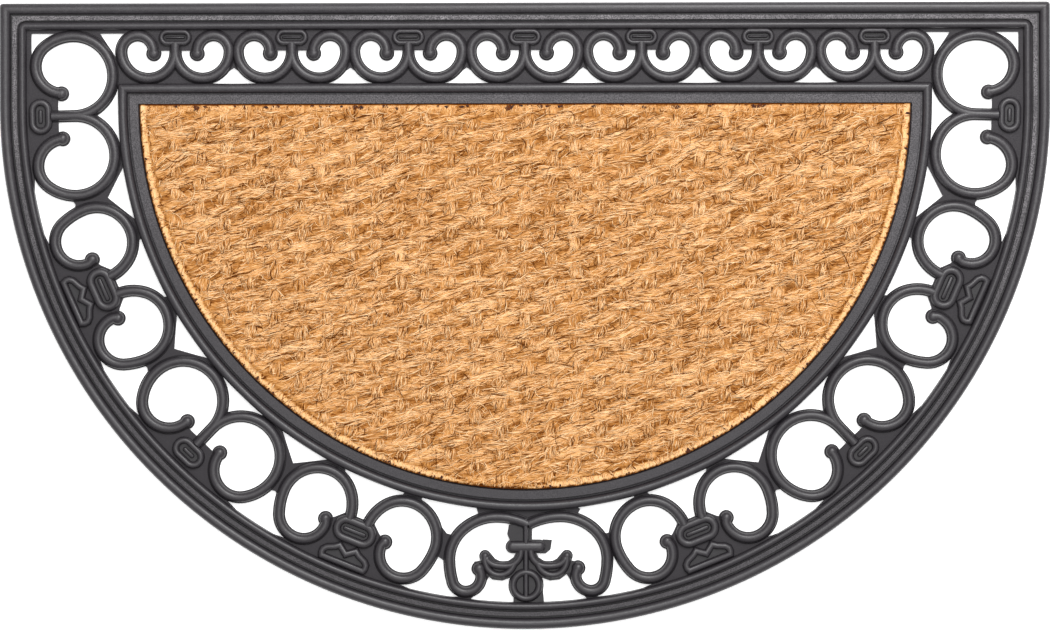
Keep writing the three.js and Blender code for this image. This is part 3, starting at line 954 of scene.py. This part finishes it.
def fibre_mesh(name, spine, width, shade):
    """Closed three-sided strands along their spines, joined in one mesh. The spine is a block of
    strands by points by x, y and z, and the width has a row of points for each strand."""
    count, points, _ = spine.shape
    along = np.gradient(spine, axis=1)
    along /= np.linalg.norm(along, axis=2, keepdims=True)
    side = np.cross(along, np.array(UP, float))
    side /= np.linalg.norm(side, axis=2, keepdims=True)
    above = np.cross(side, along)
    rings = []
    for k in range(FIBRE_SIDES):
        angle = math.pi / 2 + math.tau * k / FIBRE_SIDES
        rings.append(spine + width[..., None] / 2 * (math.cos(angle) * side + math.sin(angle) * above))
    verts = np.stack(rings, axis=2).reshape(-1, 3)
    first = np.arange(count)[:, None] * points * FIBRE_SIDES
    quads = []
    for p in range(points - 1):
        for k in range(FIBRE_SIDES):
            a, b = p * FIBRE_SIDES + k, p * FIBRE_SIDES + (k + 1) % FIBRE_SIDES
            quads.append((a, b, b + FIBRE_SIDES, a + FIBRE_SIDES))
    last = (points - 1) * FIBRE_SIDES
    caps = [(2, 1, 0), (last, last + 1, last + 2)]
    faces = (first[:, None] + np.array(quads)).reshape(-1, 4).tolist()
    faces += (first[:, None] + np.array(caps)).reshape(-1, 3).tolist()
    mesh = bpy.data.meshes.new(name)
    mesh.from_pydata(verts.tolist(), [], faces)
    set_attribute(mesh, "shade", np.repeat(shade, points * FIBRE_SIDES))
    mesh.shade_smooth()
    return mesh


def scattered(draws, count, margin):
    """Random points over the insert, clear of its edges by a margin"""
    x = draws.uniform(-COIR_RADIUS, COIR_RADIUS, count * 2)
    y = draws.uniform(-COIR_RADIUS, 0, count * 2)
    inside = (np.hypot(x, y) < COIR_RADIUS - margin) & (y < -margin)
    return x[inside][:count], y[inside][:count]


def yarn_paths(weave, draws, count, points, warp):
    """Paths of fibres that follow the weft floats, or the warp nubs, and draw together at their ends"""
    x, y = scattered(draws, count, RIM_WIDTH + 0.8)
    row = np.floor(-y / weave.pitch_y).astype(int)
    middle, i, j = weave.cell(x, row, warp)
    long_half, wide_half = (NUB_HALF_Y, NUB_HALF_X) if warp else (FLOAT_HALF_X, FLOAT_HALF_Y)
    length = draws.uniform(0.35, 0.95, len(x)) * (9 if warp else 14)
    side = draws.uniform(-0.92, 0.92, len(x))
    if warp:
        start = draws.normal(0, 1.6, len(x))
    else:
        start = (x - middle) / weave.pitch_x * np.maximum(FLOAT_HALF_X - 1.5 - length * 0.4, 2)
    run = np.linspace(-0.5, 0.5, points)[None, :] * length[:, None]
    along = start[:, None] + run
    lens = np.sqrt(np.clip(1 - np.abs(along / long_half) ** 2.3, 0.6 if warp else 0.12, 1))
    twist = draws.normal(0.022, 0.025, len(x))[:, None] * run
    across = (side[:, None] + twist) * wide_half * lens * (1 if warp else weave.fat[i, j][:, None])
    across += draws.normal(0, 0.12, len(x))[:, None] * run
    across += draws.normal(0, 0.02, len(x))[:, None] * run ** 2
    centre_y = -(row + 0.5) * weave.pitch_y
    if warp:
        path_x, path_y = middle[:, None] + across, centre_y[:, None] + along
    else:
        path_x = middle[:, None] + along
        path_y = (centre_y + weave.off[i, j])[:, None] + weave.lean[i, j][:, None] * along + across
    shift_x, shift_y = weave.shift_x.at(path_x, path_y), weave.shift_y.at(path_x, path_y)
    # Painted shade: fibres toward a yarn's sides, where it curves down, are darker
    tone = weave.tone[i, j] - 0.12 * np.abs(side) ** 3
    return path_x - WARPED_BY * shift_x, path_y - WARPED_BY * shift_y, tone


def straight_paths(draws, middle_x, middle_y, heading, length, points, curl):
    """Paths of fibres about their middles, a little curved"""
    run = np.linspace(-0.5, 0.5, points)[None, :] * length[:, None]
    bow = draws.normal(0, curl, len(length))[:, None] * (run ** 2) / length[:, None] * 2
    cos, sin = np.cos(heading)[:, None], np.sin(heading)[:, None]
    return middle_x[:, None] + run * cos - bow * sin, middle_y[:, None] + run * sin + bow * cos


def loose_paths(weave, draws, count, points):
    """Paths of short fibres that lie any way, most of them between the yarns"""
    x, y = scattered(draws, count, RIM_WIDTH)
    low = draws.random(len(x)) > weave.height(x, y)[0] - 0.25
    x, y = x[low], y[low]
    heading = draws.normal(0.35, 1.0, len(x))
    length = draws.uniform(2.5, 7, len(x))
    return *straight_paths(draws, x, y, heading, length, points, 0.2), np.zeros(len(x))


def rim_paths(draws, count, points):
    """Paths of short fibres pressed flat across the rim and across the row at the straight edge"""
    on_arc = draws.random(count) < 0.4
    turn = draws.uniform(-math.pi, 0, count)
    toward_straight_edge = COIR_RADIUS - draws.uniform(0.8, RIM_WIDTH, count)
    along = draws.uniform(-COIR_RADIUS + 5, COIR_RADIUS - 5, count)
    x = np.where(on_arc, toward_straight_edge * np.cos(turn), along)
    y = np.where(on_arc, toward_straight_edge * np.sin(turn), -draws.uniform(0.8, EDGE_ROW, count))
    heading = np.where(on_arc, turn, math.pi / 2) + draws.normal(0, 0.4, count)
    length = draws.uniform(2, 5, count)
    return *straight_paths(draws, x, y, heading, length, points, 0.1), np.where(on_arc, 0.05, -0.12)


def stray_paths(draws, count, points):
    """Paths of longer loose fibres that curl over the weave"""
    x, y = scattered(draws, count, 3)
    heading = draws.normal(0.2, 0.9, len(x))
    length = draws.uniform(6, 17, len(x))
    return *straight_paths(draws, x, y, heading, length, points, 0.45), np.zeros(len(x))


def lay_on(weave, x, y, lift):
    """Lays paths on the weave's surface. Returns spines in millimetres."""
    y = np.minimum(y, -1.2)
    keep = np.minimum(1, (COIR_RADIUS - 1.1) / np.hypot(x, y))
    x, y = x * keep, y * keep
    z = weave.surface(x, y)
    between = weave.surface((x[:, :-1] + x[:, 1:]) / 2, (y[:, :-1] + y[:, 1:]) / 2)
    z[:, :-1] = np.maximum(z[:, :-1], between)
    z[:, 1:] = np.maximum(z[:, 1:], between)
    arch = np.sin(np.linspace(0, math.pi, x.shape[1]))[None, :]
    return np.stack([x, y, z + lift[:, None] * (0.35 + 0.65 * arch) - 0.1], axis=2)


def clear_of_rim(weave, paths, draws):
    """The paths that don't cross the pressed rim, and a few that do"""
    x, y, tone = paths
    rim, groove, _, _ = weave.zones(x, y)
    crosses = (np.maximum(rim - 0.3, groove - 0.7).max(axis=1) > 0) | (y.max(axis=1) > -2.5)
    keep = ~crosses | (draws.random(len(tone)) < 0.07)
    return x[keep], y[keep], tone[keep]


def fibre_piece(name, weave, paths, draws, width, lift, pale, spread=0.3, dark=0.2):
    """A piece of many fibres laid on the weave. A share of them is dark; painted shade makes fibres lower
    in the relief darker and gives them a larger dark share.
    """
    x, y, tone = paths
    spine = lay_on(weave, x, y, np.abs(draws.normal(0, lift, len(x))))
    widths = width * draws.lognormal(0, 0.3, len(spine))
    taper = np.array([0.4, *[1.0] * (x.shape[1] - 2), 0.4])
    middle = x.shape[1] // 2
    relief = weave.height(x[:, middle], y[:, middle])[0]
    # Painted shade: fibres lower in the weave's relief are darker, and more of them are dark
    shade = pale + tone + 0.4 * (relief - 0.8) + draws.normal(0, spread, len(spine))
    deep = draws.random(len(spine)) < dark + 0.15 * (1 - relief)
    shade = np.where(deep, draws.uniform(-0.35, 0.2, len(spine)), shade)
    mesh = fibre_mesh(name, spine, widths[:, None] * taper[None, :], shade)
    mesh.transform(Matrix.Translation((0, ARC_CENTRE_Y * MM, 0)) @ Matrix.Scale(MM, 4))
    mesh.materials.append(known_finish("coir_fibre"))
    obj = bpy.data.objects.new(name, mesh)
    bpy.context.scene.collection.objects.link(obj)
    return ride_on(obj, "coir_insert")


def edge_specks(draws):
    """Crumbs of rubber pressed up at the edge of the insert, as one mesh"""
    bm = bmesh.new()
    for place, size in speck_places(draws):
        long, wide = size * draws.uniform(0.9, 2.2), size * draws.uniform(0.6, 1.1)
        stretch = Matrix.Diagonal((long, wide, 0.7, 1))
        turn = Matrix.Rotation(draws.uniform(-0.5, 0.5), 4, "Z")
        made = bmesh.ops.create_icosphere(bm, subdivisions=1, radius=0.5, matrix=place @ turn @ stretch)
        for v in made["verts"]:
            v.co.x += draws.uniform(-0.16, 0.16) * size
            v.co.y += draws.uniform(-0.16, 0.16) * size
    return bm


def speck_places(draws):
    """Where the crumbs lie, and how large they are: along the straight edge, then round the arc"""
    for _ in range(EDGE_CRUMBS):
        x = draws.uniform(-COIR_RADIUS + 6, COIR_RADIUS - 6)
        size = min(draws.lognormal(0.75, 0.5), 4.5)
        yield Matrix.Translation((x, -0.6 * size - 0.5, RIM_TOP + 0.85)), size
    for _ in range(ARC_CRUMBS):
        turn = draws.uniform(-math.pi, 0)
        size = min(draws.lognormal(0.2, 0.35), 2.4)
        at = Vector((COIR_RADIUS - 0.5 * size - 0.7, 0, RIM_TOP + 0.1))
        yield Matrix.Rotation(turn, 4, "Z") @ Matrix.Translation(at), size


def lamp(name, power, size, place):
    """A soft square light that faces the mat"""
    data = bpy.data.lights.new(name, "AREA")
    data.energy = power
    data.size = size
    made = bpy.data.objects.new(name, data)
    made.location = place
    made.rotation_euler = (-Vector(place)).to_track_quat("-Z", "Y").to_euler()
    bpy.context.scene.collection.objects.link(made)


class DoormatRubber(bpy.types.PropertyGroup):
    """Sizes of the rubber moulding"""

    bead_top: FloatProperty(
        name="Bead height", description="Height of the round beads above the floor",
        default=8 * MM, min=4 * MM, max=15 * MM, unit="LENGTH", subtype="DISTANCE",
    )
    strip_top: FloatProperty(
        name="Strip height", description="Height of the flat strips above the floor",
        default=6 * MM, min=4 * MM, max=12 * MM, unit="LENGTH", subtype="DISTANCE",
    )
    rib_top: FloatProperty(
        name="Rib height", description="Height of the scroll ribs above the floor",
        default=7.6 * MM, min=4 * MM, max=15 * MM, unit="LENGTH", subtype="DISTANCE",
    )
    oval_top: FloatProperty(
        name="Ornament height", description="Height of the ovals, crowns and fleur above the floor",
        default=7.1 * MM, min=4 * MM, max=15 * MM, unit="LENGTH", subtype="DISTANCE",
    )
    back: FloatProperty(
        name="Back thickness", description="Thickness of the closed back under the insert",
        default=2 * MM, min=1 * MM, max=2.2 * MM, unit="LENGTH", subtype="DISTANCE",
    )


class DoormatCoir(bpy.types.PropertyGroup):
    """Sizes of the woven insert"""

    weft_pitch: FloatProperty(
        name="Weft pitch", description="From one row of floats to the next",
        default=8.78 * MM, min=4 * MM, max=20 * MM, unit="LENGTH", subtype="DISTANCE",
    )
    warp_pitch: FloatProperty(
        name="Warp pitch", description="From one warp yarn to the next",
        default=17.8 * MM, min=8 * MM, max=40 * MM, unit="LENGTH", subtype="DISTANCE",
    )
    relief: FloatProperty(
        name="Relief", description="From a float's crest down to the pits beside a nub",
        default=1.9 * MM, min=0, max=6 * MM, unit="LENGTH", subtype="DISTANCE",
    )
    fibre_width: FloatProperty(
        name="Fibre width", description="Width of a small bundle of fibres",
        default=0.75 * MM, min=0.2 * MM, max=2 * MM, unit="LENGTH", subtype="DISTANCE",
    )
    fibres: IntProperty(
        name="Fibres in a group", description="Bundles of fibres in each group that is laid on the weave",
        default=12000, min=100, max=14000,
    )


class DoormatColours(bpy.types.PropertyGroup):
    """Colours of the mat and of the floor"""

    rubber: FloatVectorProperty(
        name="Rubber", description="Clean rubber",
        subtype="COLOR", default=(0.0195, 0.0168, 0.0203), min=0, max=1,
    )
    rubber_dust: FloatVectorProperty(
        name="Rubber dust", description="Pale dust in the rubber's grain",
        subtype="COLOR", default=(0.33, 0.31, 0.325), min=0, max=1,
    )
    # The darkest colour serves the dark fibres, and the painted shade in the pits, the groove inside the
    # rim and the edge line
    coir_deep: FloatVectorProperty(
        name="Coir, deep", description="Fibres in the pits of the weave",
        subtype="COLOR", default=(0.15, 0.036, 0.002), min=0, max=1,
    )
    # Also carries the painted shade on the sides of the yarns
    coir_shade: FloatVectorProperty(
        name="Coir, shaded", description="Fibres on the sides of the yarns",
        subtype="COLOR", default=(0.52, 0.222, 0.056), min=0, max=1,
    )
    coir_mid: FloatVectorProperty(
        name="Coir, middle", description="Most of the fibres",
        subtype="COLOR", default=(0.92, 0.55, 0.252), min=0, max=1,
    )
    coir_pale: FloatVectorProperty(
        name="Coir, pale", description="The palest fibres",
        subtype="COLOR", default=(1.0, 0.7, 0.4), min=0, max=1,
    )
    floor: FloatVectorProperty(
        name="Floor", description="The plain pale floor",
        subtype="COLOR", default=(0.93, 0.93, 0.93), min=0, max=1,
    )


class DoormatStage(bpy.types.PropertyGroup):
    """Camera and light"""

    camera_height: FloatProperty(
        name="Camera height", description="Of the camera above the floor",
        default=2.8, min=0.5, max=8, unit="LENGTH", subtype="DISTANCE",
    )
    lens: FloatProperty(
        name="Lens", description="Focal length in millimetres", default=134.28, min=20, max=300,
    )
    roll: FloatProperty(
        name="Roll", description="Turn of the camera about its line of sight",
        default=math.radians(-0.12), min=-0.2, max=0.2, unit="ROTATION", subtype="ANGLE",
    )
    key: FloatProperty(
        name="Key light", description="Power of the light beyond the straight edge",
        default=42, min=0, max=500, unit="POWER",
    )
    overhead: FloatProperty(
        name="Overhead light", description="Power of the wide light above",
        default=49, min=0, max=500, unit="POWER",
    )
    floor_glow: FloatProperty(
        name="Floor glow", description="Light of the floor itself, as of a light table",
        default=0.4, min=0, max=2,
    )
    sky: FloatProperty(
        name="Sky", description="Strength of the even light from all round", default=0.6, min=0, max=5,
    )


class DOORMAT_OT_border(bpy.types.Operator):
    """Model the outer border: two round beads with a flat strip between them"""

    bl_idname = "doormat.border"
    bl_label = "Outer border"

    def execute(self, context):
        sizes = context.scene.doormat_rubber
        bm = bmesh.new()
        for bead in BORDER_BEADS:
            bead_band(bm, RADIUS, RISE, bead, sizes.bead_top / MM)
        start, end = BORDER_GROOVE
        band(bm, RADIUS, RISE, [
            (start, GROOVE_UNDER, SHARP),
            (start, GROOVE_TOP, SHARP),
            (end, GROOVE_TOP, SHARP),
            (end, GROOVE_UNDER, SHARP),
        ])
        finish_piece("border_beads", bm, "rubber_smooth")
        bm = bmesh.new()
        strip_band(bm, RADIUS, RISE, BORDER_STRIP, sizes.strip_top / MM)
        finish_piece("border_strip", bm, "rubber_grained")
        return {"FINISHED"}


class DOORMAT_OT_frame(bpy.types.Operator):
    """Model the frame round the insert, and the closed back under it"""

    bl_idname = "doormat.frame"
    bl_label = "Inner frame and back"

    def execute(self, context):
        sizes = context.scene.doormat_rubber
        bm = bmesh.new()
        bead_band(bm, FRAME_RADIUS, FRAME_RISE, FRAME_BEAD, sizes.bead_top / MM)
        finish_piece("frame_bead", bm, "rubber_smooth")
        bm = bmesh.new()
        band(bm, FRAME_RADIUS, FRAME_RISE, [
            (FRAME_GROOVE_START, STRIP_UNDER, SHARP),
            (FRAME_GROOVE_START, GROOVE_TOP, SHARP),
            (FRAME_STRIP["start"], GROOVE_TOP, SHARP),
            *strip_rows(FRAME_STRIP, STRIP_UNDER, sizes.strip_top / MM)[1:],
        ])
        finish_piece("frame_strip", bm, "rubber_strip")
        bm = bmesh.new()
        outline = half_round(FRAME_RADIUS - BACK_INSET, FRAME_RISE - BACK_INSET, 1)
        raise_face(bm, outline_face(bm, outline), sizes.back / MM)
        finish_piece("rubber_back", bm, "rubber_dull")
        return {"FINISHED"}


class DOORMAT_OT_membrane(bpy.types.Operator):
    """Model the thin membrane between border and frame, with its openings cut through"""

    bl_idname = "doormat.membrane"
    bl_label = "Openwork membrane"

    def execute(self, context):
        bm = bmesh.new()
        outer = half_round(RADIUS - MEMBRANE_START, RISE - MEMBRANE_START, SHARP)
        inner = half_round(FRAME_RADIUS - BACK_INSET, FRAME_RISE - BACK_INSET, SHARP)
        loft(bm, [
            (outer, MEMBRANE_UNDER),
            (outer, LEDGE_TOP),
            (inner, LEDGE_TOP),
            (inner, MEMBRANE_UNDER),
        ])
        bmesh.ops.recalc_face_normals(bm, faces=bm.faces)
        cut = cut_through(new_object("membrane", bm), all_cutters())
        if len(cut.faces) < ARC_STEPS:
            raise RuntimeError("the membrane's openings could not be cut")
        finish_piece("membrane", cut, "rubber_dull", 30)
        return {"FINISHED"}


class DOORMAT_OT_scrolls(bpy.types.Operator):
    """Model the scroll ribs and their stems"""

    bl_idname = "doormat.scrolls"
    bl_label = "Scroll ribs"

    def execute(self, context):
        top = context.scene.doormat_rubber.rib_top / MM
        bm = bmesh.new()
        for kind, scroll in SCROLLS.items():
            unit = bmesh.new()
            rib(unit, scroll["start"], scroll["stretches"], RIB_HALF_WIDTH, top)
            mirrored_copy(unit)
            if kind in STEMS:
                stem = STEMS[kind]
                rib(unit, stem["start"], [{"run": stem["run"]}], RIB_HALF_WIDTH, top, tip=False)
            add_copies(bm, unit, unit_places(kind))
        finish_piece("scroll_ribs", bm, "rubber_smooth")
        return {"FINISHED"}


class DOORMAT_OT_ovals(bpy.types.Operator):
    """Model the ovals between the scrolls"""

    bl_idname = "doormat.ovals"
    bl_label = "Ovals"

    def execute(self, context):
        top = context.scene.doormat_rubber.oval_top / MM
        bm = bmesh.new()
        for kind, size in OVALS.items():
            unit = bmesh.new()
            oval(unit, size, top)
            add_copies(bm, unit, unit_places(kind))
        finish_piece("ovals", bm, "rubber_smooth")
        return {"FINISHED"}


class DOORMAT_OT_crowns(bpy.types.Operator):
    """Model the small crowns under the longer ovals"""

    bl_idname = "doormat.crowns"
    bl_label = "Crowns"

    def execute(self, context):
        top = context.scene.doormat_rubber.oval_top / MM
        unit = bmesh.new()
        rimmed(unit, CROWN_HALF + mirrored(CROWN_HALF[1:])[::-1], CROWN_RIM, top)
        bm = bmesh.new()
        add_copies(bm, unit, heart_places("crown"))
        finish_piece("crowns", bm, "rubber_smooth")
        return {"FINISHED"}


class DOORMAT_OT_fleur(bpy.types.Operator):
    """Model the fleur in the middle unit"""

    bl_idname = "doormat.fleur"
    bl_label = "Fleur"

    def execute(self, context):
        top = context.scene.doormat_rubber.oval_top / MM
        bm = bmesh.new()
        for leaf in (LEAF_UPPER, LEAF_LOWER):
            rib(bm, leaf["start"], leaf["stretches"], LEAF_HALF_WIDTH, LEAF_TOP)
        raise_face(bm, outline_face(bm, LEAF_WEB), LEAF_WEB_TOP)
        mirrored_copy(bm)
        for row in (FLEUR_STEM, FLEUR_SPINE):
            height = row.get("top", top)
            rib(bm, row["start"], [{"run": row["run"]}], row["half_width"], height, tip=False)
        outline = stadium(FLEUR_BAR["half_x"], FLEUR_BAR["half_y"], FLEUR_BAR["y"])
        bar = raise_face(bm, outline_face(bm, outline), GROOVE_TOP)
        section = arch_rows(0, 8.4, 0, 0, top - 3.2, 16)[:8]
        steps = [(b[0] - a[0], b[1] - a[1]) for a, b in zip(section, section[1:])]
        inset_rows(bm, bar, [(0.7, 0.05), *steps])
        inner, outer = FLEUR_RING["inner"], FLEUR_RING["outer"]
        crest, half = (inner + outer) / 2, (outer - inner) / 2
        rise = top - GROOVE_TOP
        turns = np.linspace(0, math.pi, 9)
        arch = [(crest + half * math.cos(a), GROOVE_TOP + rise * math.sin(a)) for a in turns]
        foot = [(0, 0), (outer + 0.6, 0), (outer + 0.6, LEDGE_TOP)]
        spun(bm, [*foot, *arch, (0, GROOVE_TOP)], 0, FLEUR_RING["y"], 36)
        for i, points in enumerate(FLEUR_WEBS):
            raise_face(bm, outline_face(bm, points), LEDGE_TOP + 0.05 + FLEUR_WEB_STEP * i)
        finish_piece("fleur", bm, "rubber_smooth")
        return {"FINISHED"}


class DOORMAT_OT_coir(bpy.types.Operator):
    """Model the woven insert and the fibres on it"""

    bl_idname = "doormat.coir"
    bl_label = "Woven coir insert"

    def execute(self, context):
        sizes = context.scene.doormat_coir
        weave = Weave(sizes)
        bm = coir_sheet(weave)
        bmesh.ops.recalc_face_normals(bm, faces=bm.faces)
        places = np.array([v.co[:] for v in bm.verts])
        x, y = places[:, 0], places[:, 1]
        to_row_frame(bm)
        sheet = new_object("coir_weave", bm)
        set_attribute(sheet.data, "shade", weave.shade(x, y))
        set_attribute(sheet.data, "warp", np.maximum(weave.height(x, y)[2], weave.zones(x, y)[0] > 0.3))
        sheet.data.materials.append(known_finish("coir_yarn"))
        sheet.data.shade_smooth()
        ride_on(sheet, "coir_insert")
        width = sizes.fibre_width / MM
        for i in range(FIBRE_GROUPS):
            draws = np.random.default_rng(GROUP_SEED + i)
            parts = [
                yarn_paths(weave, draws, round(sizes.fibres * WEFT_SHARE), STRAND_POINTS, 0),
                yarn_paths(weave, draws, round(sizes.fibres * WARP_SHARE), STRAND_POINTS, 1),
                loose_paths(weave, draws, round(sizes.fibres * LOOSE_SHARE), STRAND_POINTS),
            ]
            paths = clear_of_rim(weave, [np.concatenate(column) for column in zip(*parts)], draws)
            fibre_piece(f"coir_fibres_{i + 1}", weave, paths, draws, width, 0.25, 0.66)
        draws = np.random.default_rng(EDGE_SEED)
        paths = rim_paths(draws, RIM_FIBRES, STRAND_POINTS)
        fibre_piece("coir_rim_fibres", weave, paths, draws, width, 0.1, 0.6, 0.12, 0.05)
        paths = stray_paths(draws, STRAY_FIBRES, STRAY_POINTS)
        fibre_piece("coir_stray_fibres", weave, paths, draws, width * 0.8, 0.5, 0.6)
        finish_piece("rubber_crumbs", edge_specks(draws), "crumbs", 60)
        return {"FINISHED"}


class DOORMAT_OT_stage(bpy.types.Operator):
    """Set out the floor, the lights and the camera"""

    bl_idname = "doormat.stage"
    bl_label = "Floor, lights and camera"

    def execute(self, context):
        scene = context.scene
        stage = scene.doormat_stage
        bm = bmesh.new()
        bmesh.ops.create_grid(bm, x_segments=1, y_segments=1, size=6)
        floor = new_object("floor", bm)
        finish, _, shader = blank_finish("floor_paint")
        shader.inputs["Base Color"].default_value = (*scene.doormat_colours.floor, 1)
        shader.inputs["Roughness"].default_value = 0.9
        shader.inputs["Emission Color"].default_value = (1, 1, 1, 1)
        shader.inputs["Emission Strength"].default_value = stage.floor_glow
        floor.data.materials.append(finish)
        lamp("key", stage.key, 1.0, (0.4, 1.15, 2.0))
        lamp("overhead", stage.overhead, 3.0, (0, 0, 3.4))
        world = bpy.data.worlds.new("sky")
        world.use_nodes = True
        world.node_tree.nodes["Background"].inputs["Strength"].default_value = stage.sky
        world.node_tree.nodes["Background"].inputs["Color"].default_value = (1, 1, 1, 1)
        scene.world = world
        data = bpy.data.cameras.new("camera")
        data.lens = stage.lens
        camera = bpy.data.objects.new("camera", data)
        scene.collection.objects.link(camera)
        camera.location = (-0.00035, 0.00055, stage.camera_height)
        camera.rotation_euler = (0, 0, stage.roll)
        scene.camera = camera
        scene.view_settings.view_transform = "Standard"
        return {"FINISHED"}


class DOORMAT_PT_panel(bpy.types.Panel):
    """Lists the mat's sizes, colours and pieces"""

    bl_idname = "DOORMAT_PT_panel"
    bl_label = "Doormat"
    bl_space_type = "VIEW_3D"
    bl_region_type = "UI"
    bl_category = "Doormat"

    def draw(self, context):
        for name in SETTINGS:
            settings = getattr(context.scene, name)
            for key in settings.__annotations__:
                self.layout.prop(settings, key)
        for operator in OPERATORS:
            self.layout.operator(operator.bl_idname)


SETTINGS = {
    "doormat_rubber": DoormatRubber,
    "doormat_coir": DoormatCoir,
    "doormat_colours": DoormatColours,
    "doormat_stage": DoormatStage,
}
OPERATORS = [
    DOORMAT_OT_stage,
    DOORMAT_OT_border,
    DOORMAT_OT_frame,
    DOORMAT_OT_membrane,
    DOORMAT_OT_scrolls,
    DOORMAT_OT_ovals,
    DOORMAT_OT_crowns,
    DOORMAT_OT_fleur,
    DOORMAT_OT_coir,
]


def register():
    for made in [*SETTINGS.values(), *OPERATORS, DOORMAT_PT_panel]:
        bpy.utils.register_class(made)
    for name, group in SETTINGS.items():
        setattr(bpy.types.Scene, name, PointerProperty(type=group))


def unregister():
    for name in SETTINGS:
        delattr(bpy.types.Scene, name)
    for made in reversed([*SETTINGS.values(), *OPERATORS, DOORMAT_PT_panel]):
        bpy.utils.unregister_class(made)


def main():
    """Builds the mat and its stage"""
    register()
    for operator in OPERATORS:
        getattr(bpy.ops.doormat, operator.bl_idname.split(".")[1])()


if __name__ == "__main__":
    main()
